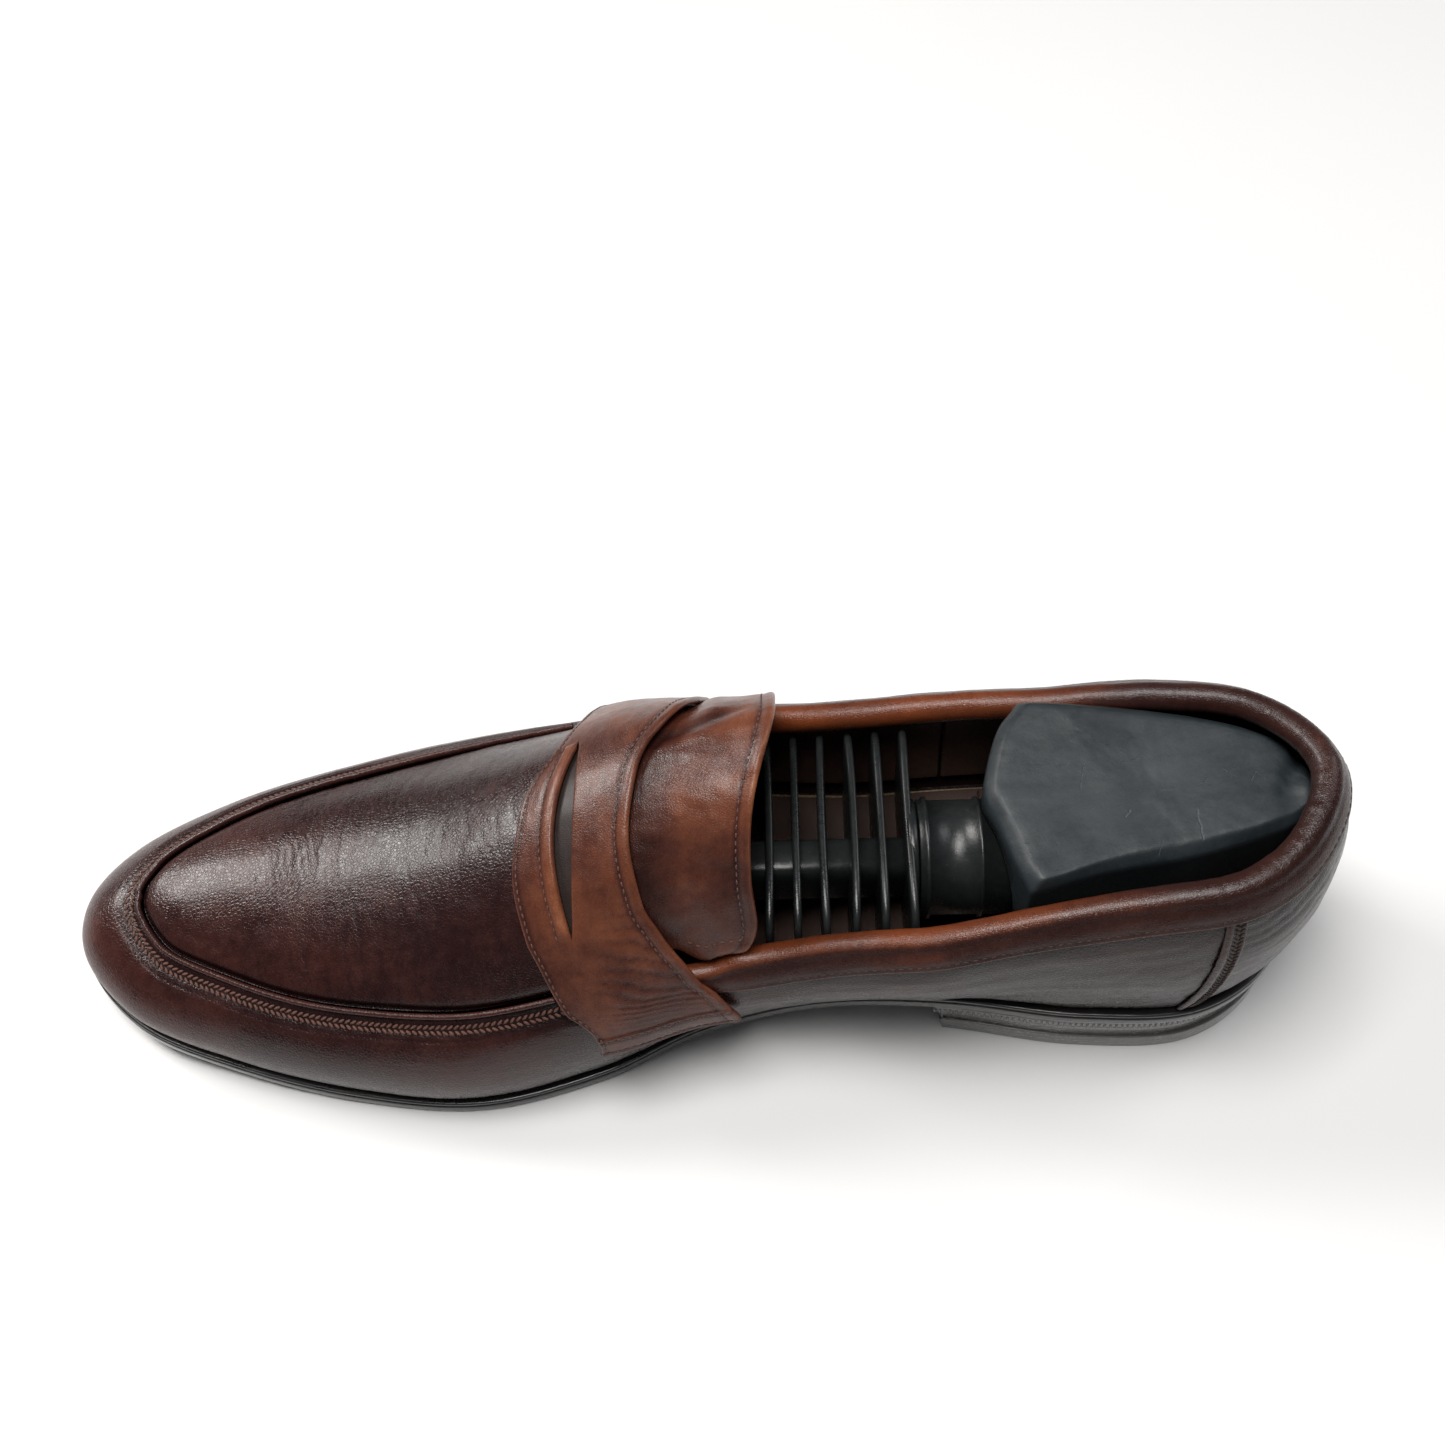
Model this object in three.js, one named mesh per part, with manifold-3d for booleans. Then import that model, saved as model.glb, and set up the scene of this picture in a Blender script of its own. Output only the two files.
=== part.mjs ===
// A right penny loafer with the plastic shoe tree that keeps its shape.
// Millimetres, +Z up, toe towards -X, medial side towards -Y, tread on Z = 0.
import * as THREE from 'three';
import { mergeVertices } from 'three/addons/utils/BufferGeometryUtils.js';
import Module from 'manifold-3d';

const wasm = await Module();
wasm.setup();

// ---------------------------------------------------------------- driving dimensions
const GAP = 0.3;                     // clearance between pieces that touch
const BOX_CENTRE = [-1.8, 2.7];       // middle of the shoe's plan in drawing coordinates

// Edge of the sole seen from above, from the back of the heel along the medial side.
const SOLE_EDGE = [
  [142, 2], [134, -18], [117, -29.5], [90, -30.5], [60, -25.5], [28, -22.5], [2, -26.5],
  [-22, -36.5], [-50, -43.2], [-80, -40.8], [-110, -33.5], [-134, -24], [-148, -9],
  [-149.5, 5], [-140, 20], [-118, 33], [-86, 42], [-50, 47], [-18, 46.5], [12, 40.5],
  [42, 35.5], [76, 35], [108, 34], [131, 24],
];
// Underside of the sole: toe spring, tread, shank rise and heel seat.
const SOLE_RISE = [
  [-152, 10.5], [-148, 9], [-134, 6], [-110, 2.6], [-80, 0.7], [-50, 0], [-22, 0.6],
  [2, 3.4], [28, 8], [60, 13.2], [90, 14.6], [150, 15.2],
];
// Crest of the instep over the last's centre line.
const CREST = [
  [-131, 31], [-125, 33.5], [-115, 36], [-100, 39], [-80, 43], [-60, 49], [-40, 57.6],
  [-22, 66], [-5, 72.5], [12, 77.5], [30, 81],
];
// Upper's side sections: x on the outline, side, then three curve handles, each as
// distance outside the sole edge and height. The first handle set is the heel's back.
const SECTIONS = [
  [142, -1, 3, 34, 10.5, 58, -4.5, 75.5], [128, -1, 3, 33, 8, 58, -5.5, 71.5],
  [105, -1, 2, 32, 6, 56, -7, 68], [88, -1, 2, 31, 8, 54, -5.5, 65],
  [50, -1, 5, 24, 17, 45, 2, 54.5], [14, -1, 5, 17, 12.5, 34, 0, 43],
  [-8, -1, 4, 15, 8, 32, -3, 41], [-30, -1, 3.5, 14, 2.5, 31, -7.5, 36],
  [-60, -1, 3.5, 13, 0.5, 27, -10.5, 31.5], [-95, -1, 3, 13, -1, 25, -11.5, 28.5],
  [-125, -1, 2.5, 16, -2.5, 25, -14, 28.5], [-150, 0, 2.5, 20, -5, 29, -19, 30.5],
  [-130, 1, 2.5, 16, -3.5, 28, -16, 31.5], [-95, 1, 2.5, 14, -1.5, 30, -13, 33],
  [-60, 1, 3, 14, 0.5, 32, -12, 36.5], [-30, 1, 3, 15, 1.5, 36, -11, 42],
  [-8, 1, 3.5, 17, 4, 40, -8, 48], [14, 1, 4, 20, 6.5, 42, -6, 50],
  [50, 1, 4, 26, 7.5, 50, -4.5, 57], [88, 1, 3, 32, 6, 54, -7.5, 63.5],
  [105, 1, 3, 33, 6.5, 56, -8.5, 66.8], [128, 1, 3, 34, 8, 58, -6.5, 70.8],
];
const FEATHER_INSET = 2;             // upper's bottom edge inside the sole edge
const LASTING_MARGIN = 12;           // leather turned under the insole
const CROWN_POWER = 2.3;             // roundness of the instep across the foot

// Sole stack, as heights above the sole's underside.
const OUTSOLE = [0, 2.8];
const RAND = [3.1, 4.2];
const UPPER_BASE = 4.5;
const FILLER = [3.1, 5.9];
const SHANK = [3.2, 4.8];
const INSOLE = [6.3, 8.3];
const SOCK = [8.6, 9.6];
const HEEL_PAD = [9.9, 12.4];
const HEEL_BREAST = 59;              // x of the heel's front face at the ground
const BREAST_LEAN = 0.23;            // forward lean of that face per millimetre of height
const TOP_PIECE = 5;                 // rubber under the heel block
const NAIL = { radius: 1, hole: 1.4, bottom: 7 };
const NAIL_PLACES = [[84, -12], [84, 16], [108, -12], [108, 15], [122, 2]];

// Layers of the upper, as distances outside the leather's grain face.
const LEATHER = [-1.4, 0];
const STIFFENER = [-2.4, -1.9];
const LINING = [-3.7, -2.7];
const PLUG_LINING = [-2.9, -1.9];
const OVERLAY = [0.35, 1.6];
const SLIT_BACKING = [0.3, 0.9];
const STRAP = [1.2, 2.5];
const TOP_EDGE = 0.985;              // where the side wall stops short of the apron seam

const COLLAR = { band: 10, drop: 3.4, inside: 4.6, middle: -1.85, outer: 3.4, inner: 2.2 };
const COLLAR_START = 11;             // x where the collar comes out behind the strap
const QUARTER_JOIN = -24;            // x of the seam hidden under the strap
const COUNTER_JOIN = 118;            // x of the counter seams
const SEAM_STRIP = 4.6;
const HEEL_LINING_JOIN = 62;

// Saddle strap's front and rear edges against the way across the instep.
const STRAP_FRONT = [
  [0, -20.5], [0.05, -20.5], [0.1, -21.5], [0.15, -24], [0.2, -28], [0.25, -31.5],
  [0.3, -34.5], [0.4, -36.7], [0.5, -35], [0.6, -27.5], [0.7, -23.5], [0.85, -21.5], [1, -21],
];
const STRAP_REAR = [
  [0, 11.5], [0.05, 10.5], [0.1, 8.5], [0.15, 6], [0.2, 1.5], [0.25, -4.5],
  [0.3, -8.5], [0.4, -10.5], [0.5, -8.5], [0.6, -2], [0.7, 3], [0.85, 6.5], [1, 10],
];
const SLIT = { from: [-24, -23], to: [-22, 16], front: -31, rear: -22.5 };
const TONGUE_ROOT = -19.7;
const TONGUE_LIFT = { medial: 5.6, lateral: 7.5 };  // height at which its sides cross the collar
const PIPING = { radius: 1.2, stand: 1.9, start: -31 };

// Shoe tree: toe form with fins, spring-loaded neck and heel block.
const FORM = { nose: -133, from: -126, to: -9, clearance: 5, floor: 10.4 };
const FIN = {
  first: 18.6, pitch: 6.4, count: 6, thickness: 1.8, middle: 6.2, shift: -0.1, half: 27.1,
};
const SPINE = [-12, 52];
const NECK = { radius: 13.5, wall: 3.5, y: -1, z: 42, from: 52.4, to: 80 };
const ROD = { radius: 5, from: 71, to: 95 };
const BORE = { radius: 14.2, depth: 94 };
const SPRING = { radius: 7.6, wire: 0.8, turns: 7, from: 57, to: 92.5 };
const BLOCK_TOP = [
  [75.7, 26], [71, 20], [68, 11.7], [66.6, 3.4], [69.2, -4.5], [72.2, -13.8], [74.8, -20],
  [90, -15.8], [109, -12.3], [129, -5], [138, 1.8], [137, 8], [131.5, 14.5], [118.5, 20],
  [94.5, 24.6],
];
const BLOCK = { level: 63.5, tilt: 0.1, bottom: 30.5, centre: [104, 3] };

// ---------------------------------------------------------------- finishes
const FINISH = {
  vamp: { color: 0x54302a, roughness: 0.42, metalness: 0 },
  quarter: { color: 0x6b4034, roughness: 0.5, metalness: 0 },
  strap: { color: 0x8a5238, roughness: 0.45, metalness: 0 },
  collar: { color: 0x9c5730, roughness: 0.4, metalness: 0 },
  lining: { color: 0x2a1d18, roughness: 0.8, metalness: 0 },
  board: { color: 0x8b7355, roughness: 0.9, metalness: 0 },
  cork: { color: 0x9a7048, roughness: 0.95, metalness: 0 },
  sole: { color: 0x1c1816, roughness: 0.45, metalness: 0 },
  rubber: { color: 0x191919, roughness: 0.7, metalness: 0 },
  steel: { color: 0xb0b3b6, roughness: 0.3, metalness: 1 },
  plastic: { color: 0x33373a, roughness: 0.4, metalness: 0 },
};

// ---------------------------------------------------------------- curves
// Monotone cubic through rows of [x, value, value, ...].
function smooth(rows) {
  const width = rows[0].length - 1;
  const x = rows.map((row) => row[0]);
  const slope = (k, c) => (rows[k + 1][c] - rows[k][c]) / (x[k + 1] - x[k]);
  const tangent = rows.map((row, k) => Array.from({ length: width }, (_, c) => {
    if (k === 0) return slope(0, c + 1);
    if (k === rows.length - 1) return slope(k - 1, c + 1);
    const a = slope(k - 1, c + 1);
    const b = slope(k, c + 1);
    return a * b <= 0 ? 0 : (2 * a * b) / (a + b);
  }));
  return (at) => {
    let k = 0;
    while (k < rows.length - 2 && at > x[k + 1]) k += 1;
    const h = x[k + 1] - x[k];
    const u = THREE.MathUtils.clamp((at - x[k]) / h, 0, 1);
    const a = (1 + 2 * u) * (1 - u) ** 2;
    const b = u * (1 - u) ** 2 * h;
    const c = u * u * (3 - 2 * u);
    const d = u * u * (u - 1) * h;
    return tangent[k].map((m, i) => (
      a * rows[k][i + 1] + b * m + c * rows[k + 1][i + 1] + d * tangent[k + 1][i]));
  };
}

const soleRise = smooth(SOLE_RISE);
const crest = smooth(CREST);
const soleZ = (x) => soleRise(x)[0];

// Sole outline sampled evenly; s runs from 0 at the heel's back, medial side first.
const OUTLINE_STEPS = 1200;
const outline = new THREE.CatmullRomCurve3(
  SOLE_EDGE.map(([x, y]) => new THREE.Vector3(x, y, 0)), true, 'centripetal');
outline.arcLengthDivisions = 2400;
const edgePoints = outline.getSpacedPoints(OUTLINE_STEPS);
const TOE = edgePoints.reduce((best, p, i) => (p.x < edgePoints[best].x ? i : best), 0)
  / OUTLINE_STEPS;

function edgeAt(s) {
  const place = THREE.MathUtils.euclideanModulo(s, 1) * OUTLINE_STEPS;
  const i = Math.floor(place) % OUTLINE_STEPS;
  const point = edgePoints[i].clone().lerp(edgePoints[i + 1], place - Math.floor(place));
  const reach = 3;
  const before = edgePoints[(i - reach + OUTLINE_STEPS) % OUTLINE_STEPS];
  const after = edgePoints[(i + 1 + reach) % OUTLINE_STEPS];
  const normal = new THREE.Vector3(before.y - after.y, after.x - before.x, 0).normalize();
  return { point, normal };
}

// Finds where a quantity that falls towards the toe reaches x on one side of the shoe.
function findS(x, side, xAt) {
  let heel = side < 0 ? 0 : 1;
  let toe = TOE;
  for (let k = 0; k < 34; k += 1) {
    const middle = (heel + toe) / 2;
    if (xAt(middle) > x) heel = middle;
    else toe = middle;
  }
  return (heel + toe) / 2;
}
const insetPoint = (s, inset) => {
  const { point, normal } = edgeAt(s);
  return point.addScaledVector(normal, -inset);
};
const sAt = (x, side) => findS(x, side, (s) => edgeAt(s).point.x);

const sectionRows = SECTIONS.map(([x, side, ...handles]) => (
  [side === 0 ? TOE : sAt(x, side), ...handles]));
sectionRows[0][0] = 0;
const wrap = (row, shift) => [row[0] + shift, ...row.slice(1)];
const sections = smooth([
  ...sectionRows.slice(-2).map((row) => wrap(row, -1)), ...sectionRows,
  ...sectionRows.slice(0, 2).map((row) => wrap(row, 1)),
]);

// ---------------------------------------------------------------- surfaces of the upper
// Side wall: t from 0 at the feather line to 1 at the apron seam or top line; t below 0
// is the lasting margin. The offset is measured outwards from the grain face.
function wall(s, t, offset = 0) {
  const { point, normal } = edgeAt(s);
  const [o1, z1, o2, z2, o3, z3] = sections(THREE.MathUtils.euclideanModulo(s, 1));
  let out = -FEATHER_INSET + Math.min(t, 0) * LASTING_MARGIN;
  const base = soleZ(point.x + normal.x * out) + UPPER_BASE;
  let up = base;
  const turn = new THREE.Vector2(0, -1);
  if (t >= 0) {
    const r = 1 - t;
    out = -FEATHER_INSET * r ** 3 + 3 * o1 * t * r * r + 3 * o2 * t * t * r + o3 * t ** 3;
    up = base * r ** 3 + 3 * z1 * t * r * r + 3 * z2 * t * t * r + z3 * t ** 3;
    const dOut = (o1 + FEATHER_INSET) * r * r + 2 * (o2 - o1) * t * r + (o3 - o2) * t * t;
    const dUp = (z1 - base) * r * r + 2 * (z2 - z1) * t * r + (z3 - z2) * t * t;
    const grain = new THREE.Vector2(dUp, -dOut).normalize();
    turn.copy(t === 0 ? grain.add(turn).normalize() : grain);
  }
  point.addScaledVector(normal, out + offset * turn.x);
  point.z = up + offset * turn.y;
  return point;
}
// Height parameter at a distance below the top line.
function below(s, distance) {
  const [, , o2, z2, o3, z3] = sections(THREE.MathUtils.euclideanModulo(s, 1));
  return 1 - distance / (3 * Math.hypot(o3 - o2, z3 - z2));
}
const wallAtX = (x, side, t, offset = 0) => (
  wall(findS(x, side, (s) => wall(s, t).x), t, offset));

// Apron: v from -1 at the medial seam to 1 at the lateral one.
const seamCache = new Map();
function seams(x) {
  const key = x.toFixed(4);
  if (!seamCache.has(key)) seamCache.set(key, [wallAtX(x, -1, 1), wallAtX(x, 1, 1)]);
  return seamCache.get(key);
}
function apronFace(x, v) {
  const [medial, lateral] = seams(x);
  const point = medial.clone().lerp(lateral, (v + 1) / 2);
  const rise = crest(x)[0] - (medial.z + lateral.z) / 2;
  point.x = x;
  point.z += rise * (1 - Math.abs(v) ** CROWN_POWER);
  return point;
}
// Moves a point of a surface along its outward normal.
function offsetFrom(surface, x, v, offset) {
  const point = surface(x, v);
  const along = surface(x + 0.5, v).sub(point);
  const across = surface(x, v + 0.01).sub(surface(x, v - 0.01));
  return point.addScaledVector(along.cross(across).normalize(), offset);
}
const apron = (x, v, offset = 0) => offsetFrom(apronFace, x, v, offset);

// Saddle: one smooth curve over the instep at each x, w from 0 medial to 1 lateral.
const SADDLE_WALL = [0.53, 0.7, 0.88];
const SADDLE_TOP = [-0.8, -0.5, -0.2, 0.2, 0.5, 0.8];
const saddleCache = new Map();
function saddleFace(x, w) {
  const key = x.toFixed(4);
  if (!saddleCache.has(key)) {
    saddleCache.set(key, new THREE.CatmullRomCurve3([
      ...SADDLE_WALL.map((t) => wallAtX(x, -1, t)),
      ...SADDLE_TOP.map((v) => apronFace(x, v)),
      ...SADDLE_WALL.map((t) => wallAtX(x, 1, t)).reverse(),
    ], false, 'centripetal'));
  }
  return saddleCache.get(key).getPoint(THREE.MathUtils.clamp(w, 0, 1));
}
const saddle = (x, w, offset) => offsetFrom(saddleFace, x, w, offset);

// ---------------------------------------------------------------- solids
// Closed geometry from points and triangles, turned so that its faces point out.
function closed(points, triangles) {
  const loose = new THREE.BufferGeometry();
  const numbers = points.flatMap((p) => [p.x, p.y, p.z]);
  loose.setAttribute('position', new THREE.Float32BufferAttribute(numbers, 3));
  loose.setIndex(triangles.flat());
  const geometry = mergeVertices(loose, 1e-3);
  const index = geometry.index.array;
  const position = geometry.attributes.position;
  const at = (i) => new THREE.Vector3().fromBufferAttribute(position, i);
  const kept = [];
  let volume = 0;
  for (let i = 0; i < index.length; i += 3) {
    const [a, b, c] = [index[i], index[i + 1], index[i + 2]];
    if (a !== b && b !== c && c !== a) {
      kept.push([a, b, c]);
      volume += at(a).dot(at(b).cross(at(c)));
    }
  }
  geometry.setIndex(kept.flatMap(([a, b, c]) => (volume > 0 ? [a, b, c] : [a, c, b])));
  return geometry;
}

// Skin between two layers of a surface: at(u, v, layer) with u and v from 0 to 1.
function skin(across, along, at) {
  const points = [];
  const triangles = [];
  const id = (layer, i, j) => (layer * (across + 1) + i) * (along + 1) + j;
  for (const layer of [0, 1]) {
    for (let i = 0; i <= across; i += 1) {
      for (let j = 0; j <= along; j += 1) points.push(at(i / across, j / along, layer));
    }
  }
  const quad = (a, b, c, d) => triangles.push([a, b, c], [a, c, d]);
  for (let i = 0; i < across; i += 1) {
    for (let j = 0; j < along; j += 1) {
      quad(id(1, i, j), id(1, i + 1, j), id(1, i + 1, j + 1), id(1, i, j + 1));
      quad(id(0, i, j), id(0, i, j + 1), id(0, i + 1, j + 1), id(0, i + 1, j));
    }
    quad(id(0, i, 0), id(0, i + 1, 0), id(1, i + 1, 0), id(1, i, 0));
    quad(id(0, i + 1, along), id(0, i, along), id(1, i, along), id(1, i + 1, along));
  }
  for (let j = 0; j < along; j += 1) {
    quad(id(0, 0, j + 1), id(0, 0, j), id(1, 0, j), id(1, 0, j + 1));
    quad(id(0, across, j), id(0, across, j + 1), id(1, across, j + 1), id(1, across, j));
  }
  return closed(points, triangles);
}

// Solid through a row of rings of points; a closed row joins its last ring to its first.
function loft(rings, isLoop = false) {
  const count = rings[0].length;
  const points = rings.flat();
  const triangles = [];
  const last = isLoop ? rings.length : rings.length - 1;
  for (let i = 0; i < last; i += 1) {
    for (let j = 0; j < count; j += 1) {
      const a = i * count + j;
      const b = i * count + ((j + 1) % count);
      const c = ((i + 1) % rings.length) * count + ((j + 1) % count);
      const d = ((i + 1) % rings.length) * count + j;
      triangles.push([a, b, c], [a, c, d]);
    }
  }
  if (!isLoop) {
    for (const end of [0, rings.length - 1]) {
      const middle = rings[end].reduce((sum, p) => sum.add(p), new THREE.Vector3());
      const centre = points.push(middle.divideScalar(count)) - 1;
      for (let j = 0; j < count; j += 1) {
        const a = end * count + j;
        const b = end * count + ((j + 1) % count);
        triangles.push(end === 0 ? [centre, b, a] : [centre, a, b]);
      }
    }
  }
  return closed(points, triangles);
}

// Plate that fills the sole outline, inset, between two heights that vary with x.
function plate({ from = -200, to = 200, inset, bottom, top, steps, lean = 0 }) {
  const rim = [insetPoint(TOE, inset).x + 0.3, insetPoint(0, inset).x - 0.3];
  const ends = [Math.max(from, rim[0]), Math.min(to, rim[1])];
  return skin(steps, 3, (u, v, layer) => {
    const x = THREE.MathUtils.lerp(ends[0], ends[1], (1 - Math.cos(Math.PI * u)) / 2);
    const [near, far] = [-1, 1].map((side) => (
      insetPoint(findS(x, side, (s) => insetPoint(s, inset).x), inset).y));
    const height = layer ? top : bottom;
    const leaned = x - lean * height(x) * (1 - u);
    return new THREE.Vector3(leaned, THREE.MathUtils.lerp(near, far, v), height(leaned));
  });
}
const aboveSole = (height) => (x) => soleZ(x) + height;

function toManifold(geometry) {
  const bare = new THREE.BufferGeometry();
  bare.setAttribute('position', geometry.attributes.position);
  if (geometry.index) bare.setIndex(geometry.index);
  const merged = mergeVertices(bare, 1e-4);
  return new wasm.Manifold(new wasm.Mesh({
    numProp: 3,
    vertProperties: new Float32Array(merged.attributes.position.array),
    triVerts: new Uint32Array(merged.index.array),
  }));
}
function fromManifold(manifold) {
  const mesh = manifold.getMesh();
  const geometry = new THREE.BufferGeometry();
  geometry.setAttribute('position', new THREE.BufferAttribute(mesh.vertProperties, 3));
  geometry.setIndex(new THREE.BufferAttribute(mesh.triVerts, 1));
  return geometry;
}
function cut(geometry, ...tools) {
  return fromManifold(tools.reduce(
    (body, tool) => body.subtract(toManifold(tool)), toManifold(geometry)));
}
function join(...geometries) {
  return fromManifold(geometries.map(toManifold).reduce((sum, next) => sum.add(next)));
}

// Round bar along X or Z between two stations.
function bar(radius, from, to, [a, b], isAlongX, sides = 12) {
  const geometry = new THREE.CylinderGeometry(radius, radius, to - from, sides);
  if (isAlongX) geometry.rotateZ(-Math.PI / 2).translate((from + to) / 2, a, b);
  else geometry.rotateX(Math.PI / 2).translate(a, b, (from + to) / 2);
  return geometry;
}

// ---------------------------------------------------------------- assembly
const shoe = new THREE.Group();
shoe.position.set(-BOX_CENTRE[0], -BOX_CENTRE[1], 0);
function add(name, finish, geometry) {
  const mesh = new THREE.Mesh(geometry, new THREE.MeshStandardMaterial(FINISH[finish]));
  mesh.name = name;
  shoe.add(mesh);
}
const mix = THREE.MathUtils.lerp;

// Multiples of a step that lie well between two limits. Panels of every layer share them,
// so their facets stay parallel.
const S_STEP = 1 / 88;
const T_STEP = 1 / 7;
function stops(from, to, step) {
  const list = [];
  for (let k = Math.ceil(from / step + 0.3); k * step < to - 0.3 * step; k += 1) {
    list.push(k * step);
  }
  return list;
}

// Panel of the side wall between two outline stations and two heights.
function panel(sFrom, sTo, tFrom, tTo, layers) {
  const sStops = stops(Math.max(sFrom(0), sFrom(1)), Math.min(sTo(0), sTo(1)), S_STEP);
  const tStops = stops(Math.max(tFrom(0), -T_STEP), tTo(0), T_STEP);
  return skin(sStops.length + 1, tStops.length + 1, (u, v, layer) => {
    const i = Math.round(u * (sStops.length + 1));
    const j = Math.round(v * (tStops.length + 1));
    const sNear = i === 0 ? sFrom(0.5) : sStops[i - 1] ?? sTo(0.5);
    const t = j === 0 ? tFrom(sNear) : tStops[j - 1] ?? tTo(sNear);
    const s = i === 0 ? sFrom(t) : sStops[i - 1] ?? sTo(t);
    return wall(s, t, layers[layer]);
  });
}
const fixed = (value) => () => value;

// Bottom: heel, sole, stiffening and the parts underfoot.
const nailTools = NAIL_PLACES.map((place) => bar(NAIL.hole, NAIL.bottom, 40, place, false, 8));
add('heel_top_piece', 'rubber', plate({
  from: HEEL_BREAST, inset: 1, bottom: fixed(0), top: fixed(TOP_PIECE), steps: 16,
  lean: BREAST_LEAN,
}));
add('heel_block', 'sole', cut(plate({
  from: HEEL_BREAST, inset: 0.6, bottom: fixed(TOP_PIECE + GAP), top: aboveSole(-GAP),
  steps: 16, lean: BREAST_LEAN,
}), ...nailTools));
add('outsole', 'sole', cut(plate({
  inset: 0, bottom: aboveSole(OUTSOLE[0]), top: aboveSole(OUTSOLE[1]), steps: 26,
}), ...nailTools));
const RAND_STATIONS = 64;
add('rand', 'sole', loft(Array.from({ length: RAND_STATIONS }, (_, i) => {
  const s = i / RAND_STATIONS;
  const outer = insetPoint(s, 0);
  const inner = insetPoint(s, LASTING_MARGIN);
  const at = (p, h) => new THREE.Vector3(p.x, p.y, soleZ(p.x) + h);
  return [at(outer, RAND[0]), at(outer, RAND[1]), at(inner, RAND[1]), at(inner, RAND[0])];
}), true));
add('cork_filler', 'cork', plate({
  to: -8, inset: LASTING_MARGIN + FEATHER_INSET + 0.6, bottom: aboveSole(FILLER[0]),
  top: aboveSole(FILLER[1]), steps: 12,
}));
add('shank', 'steel', skin(16, 2, (u, v, layer) => {
  const x = mix(-4, 76, u);
  return new THREE.Vector3(x, mix(-3, 8, v), soleZ(x) + SHANK[layer]);
}));
add('insole_board', 'board', cut(plate({
  inset: 5.2, bottom: aboveSole(INSOLE[0]), top: aboveSole(INSOLE[1]), steps: 20,
}), ...nailTools));
add('sock_lining', 'lining', plate({
  inset: 6.2, bottom: aboveSole(SOCK[0]), top: aboveSole(SOCK[1]), steps: 20,
}));
add('heel_pad', 'lining', plate({
  from: 70, inset: 8, bottom: aboveSole(HEEL_PAD[0]), top: aboveSole(HEEL_PAD[1]), steps: 10,
}));
NAIL_PLACES.forEach((place, i) => add(`heel_nail_${i + 1}`, 'steel', bar(
  NAIL.radius, NAIL.bottom + GAP, soleZ(place[0]) + INSOLE[1], place, false, 8)));

// Upper: outer leather.
const onStop = (s) => Math.round(s / S_STEP) * S_STEP;
const seamPair = (x) => ({ medial: onStop(sAt(x, -1)), lateral: onStop(sAt(x, 1)) });
const vampJoin = seamPair(QUARTER_JOIN);
const counterJoin = seamPair(COUNTER_JOIN);
const liningJoin = seamPair(HEEL_LINING_JOIN);
const HAIR = 0.00045;                // half a gap along the outline, as a share of its length
const collarEnd = (s) => below(s, COLLAR.drop);
// The top edge of the side wall: under the apron seam, then under the collar.
const quarterTop = (s) => Math.min(TOP_EDGE, collarEnd(s));
add('vamp', 'vamp', panel(
  fixed(vampJoin.medial + HAIR), fixed(vampJoin.lateral - HAIR), fixed(-1), fixed(TOP_EDGE),
  LEATHER));
add('quarter_medial', 'quarter', panel(
  fixed(counterJoin.medial + HAIR), fixed(vampJoin.medial - HAIR), fixed(-1), quarterTop,
  LEATHER));
add('quarter_lateral', 'quarter', panel(
  fixed(vampJoin.lateral + HAIR), fixed(counterJoin.lateral - HAIR), fixed(-1), quarterTop,
  LEATHER));
add('heel_counter_panel', 'quarter', panel(
  fixed(counterJoin.lateral - 1 + HAIR), fixed(counterJoin.medial - HAIR), fixed(-1),
  quarterTop, LEATHER));
const stripHalf = (SEAM_STRIP / 2) / outline.getLength();
const bandFoot = (s) => below(s, COLLAR.band);
for (const side of ['medial', 'lateral']) {
  add(`counter_seam_strip_${side}`, 'strap', panel(
    fixed(counterJoin[side] - stripHalf), fixed(counterJoin[side] + stripHalf), fixed(0.03),
    (s) => bandFoot(s) - 0.015, OVERLAY));
}
const tip = wall(TOE, 1).x + 0.2;
add('apron', 'vamp', skin(18, 8, (u, v, layer) => apron(
  mix(tip, TONGUE_ROOT - 0.6, 1 - Math.cos((Math.PI / 2) * u)),
  mix(-TOP_EDGE, TOP_EDGE, v), LEATHER[layer])));

// Piping that stands on the seam between apron and vamp.
const pipingStart = sAt(PIPING.start, -1);
const PIPING_STATIONS = 38;
const PIPING_SIDES = 6;
add('apron_piping', 'vamp', loft(Array.from({ length: PIPING_STATIONS + 1 }, (_, i) => {
  const s = mix(pipingStart, vampJoin.lateral, i / PIPING_STATIONS);
  const seam = wall(s, 1);
  const { normal } = edgeAt(s);
  const rise = wall(s, 1, 1).sub(seam);
  const inward = seam.clone().addScaledVector(normal, -6);
  const [medial, lateral] = seams(Math.max(inward.x, tip));
  const v = THREE.MathUtils.clamp(
    (2 * (inward.y - medial.y)) / (lateral.y - medial.y) - 1, -0.98, 0.98);
  const slope = apronFace(Math.max(inward.x, tip), v).z - seam.z;
  const apronNormal = normal.clone().multiplyScalar(slope).setZ(6).normalize();
  const stand = rise.add(apronNormal).normalize();
  const centre = seam.addScaledVector(stand, PIPING.stand);
  const side = new THREE.Vector3(0, 0, 1).cross(normal).cross(stand).normalize();
  return Array.from({ length: PIPING_SIDES }, (__, j) => {
    const a = (2 * Math.PI * j) / PIPING_SIDES;
    return centre.clone().addScaledVector(side, PIPING.radius * Math.cos(a))
      .addScaledVector(stand, PIPING.radius * Math.sin(a));
  });
})));

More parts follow.
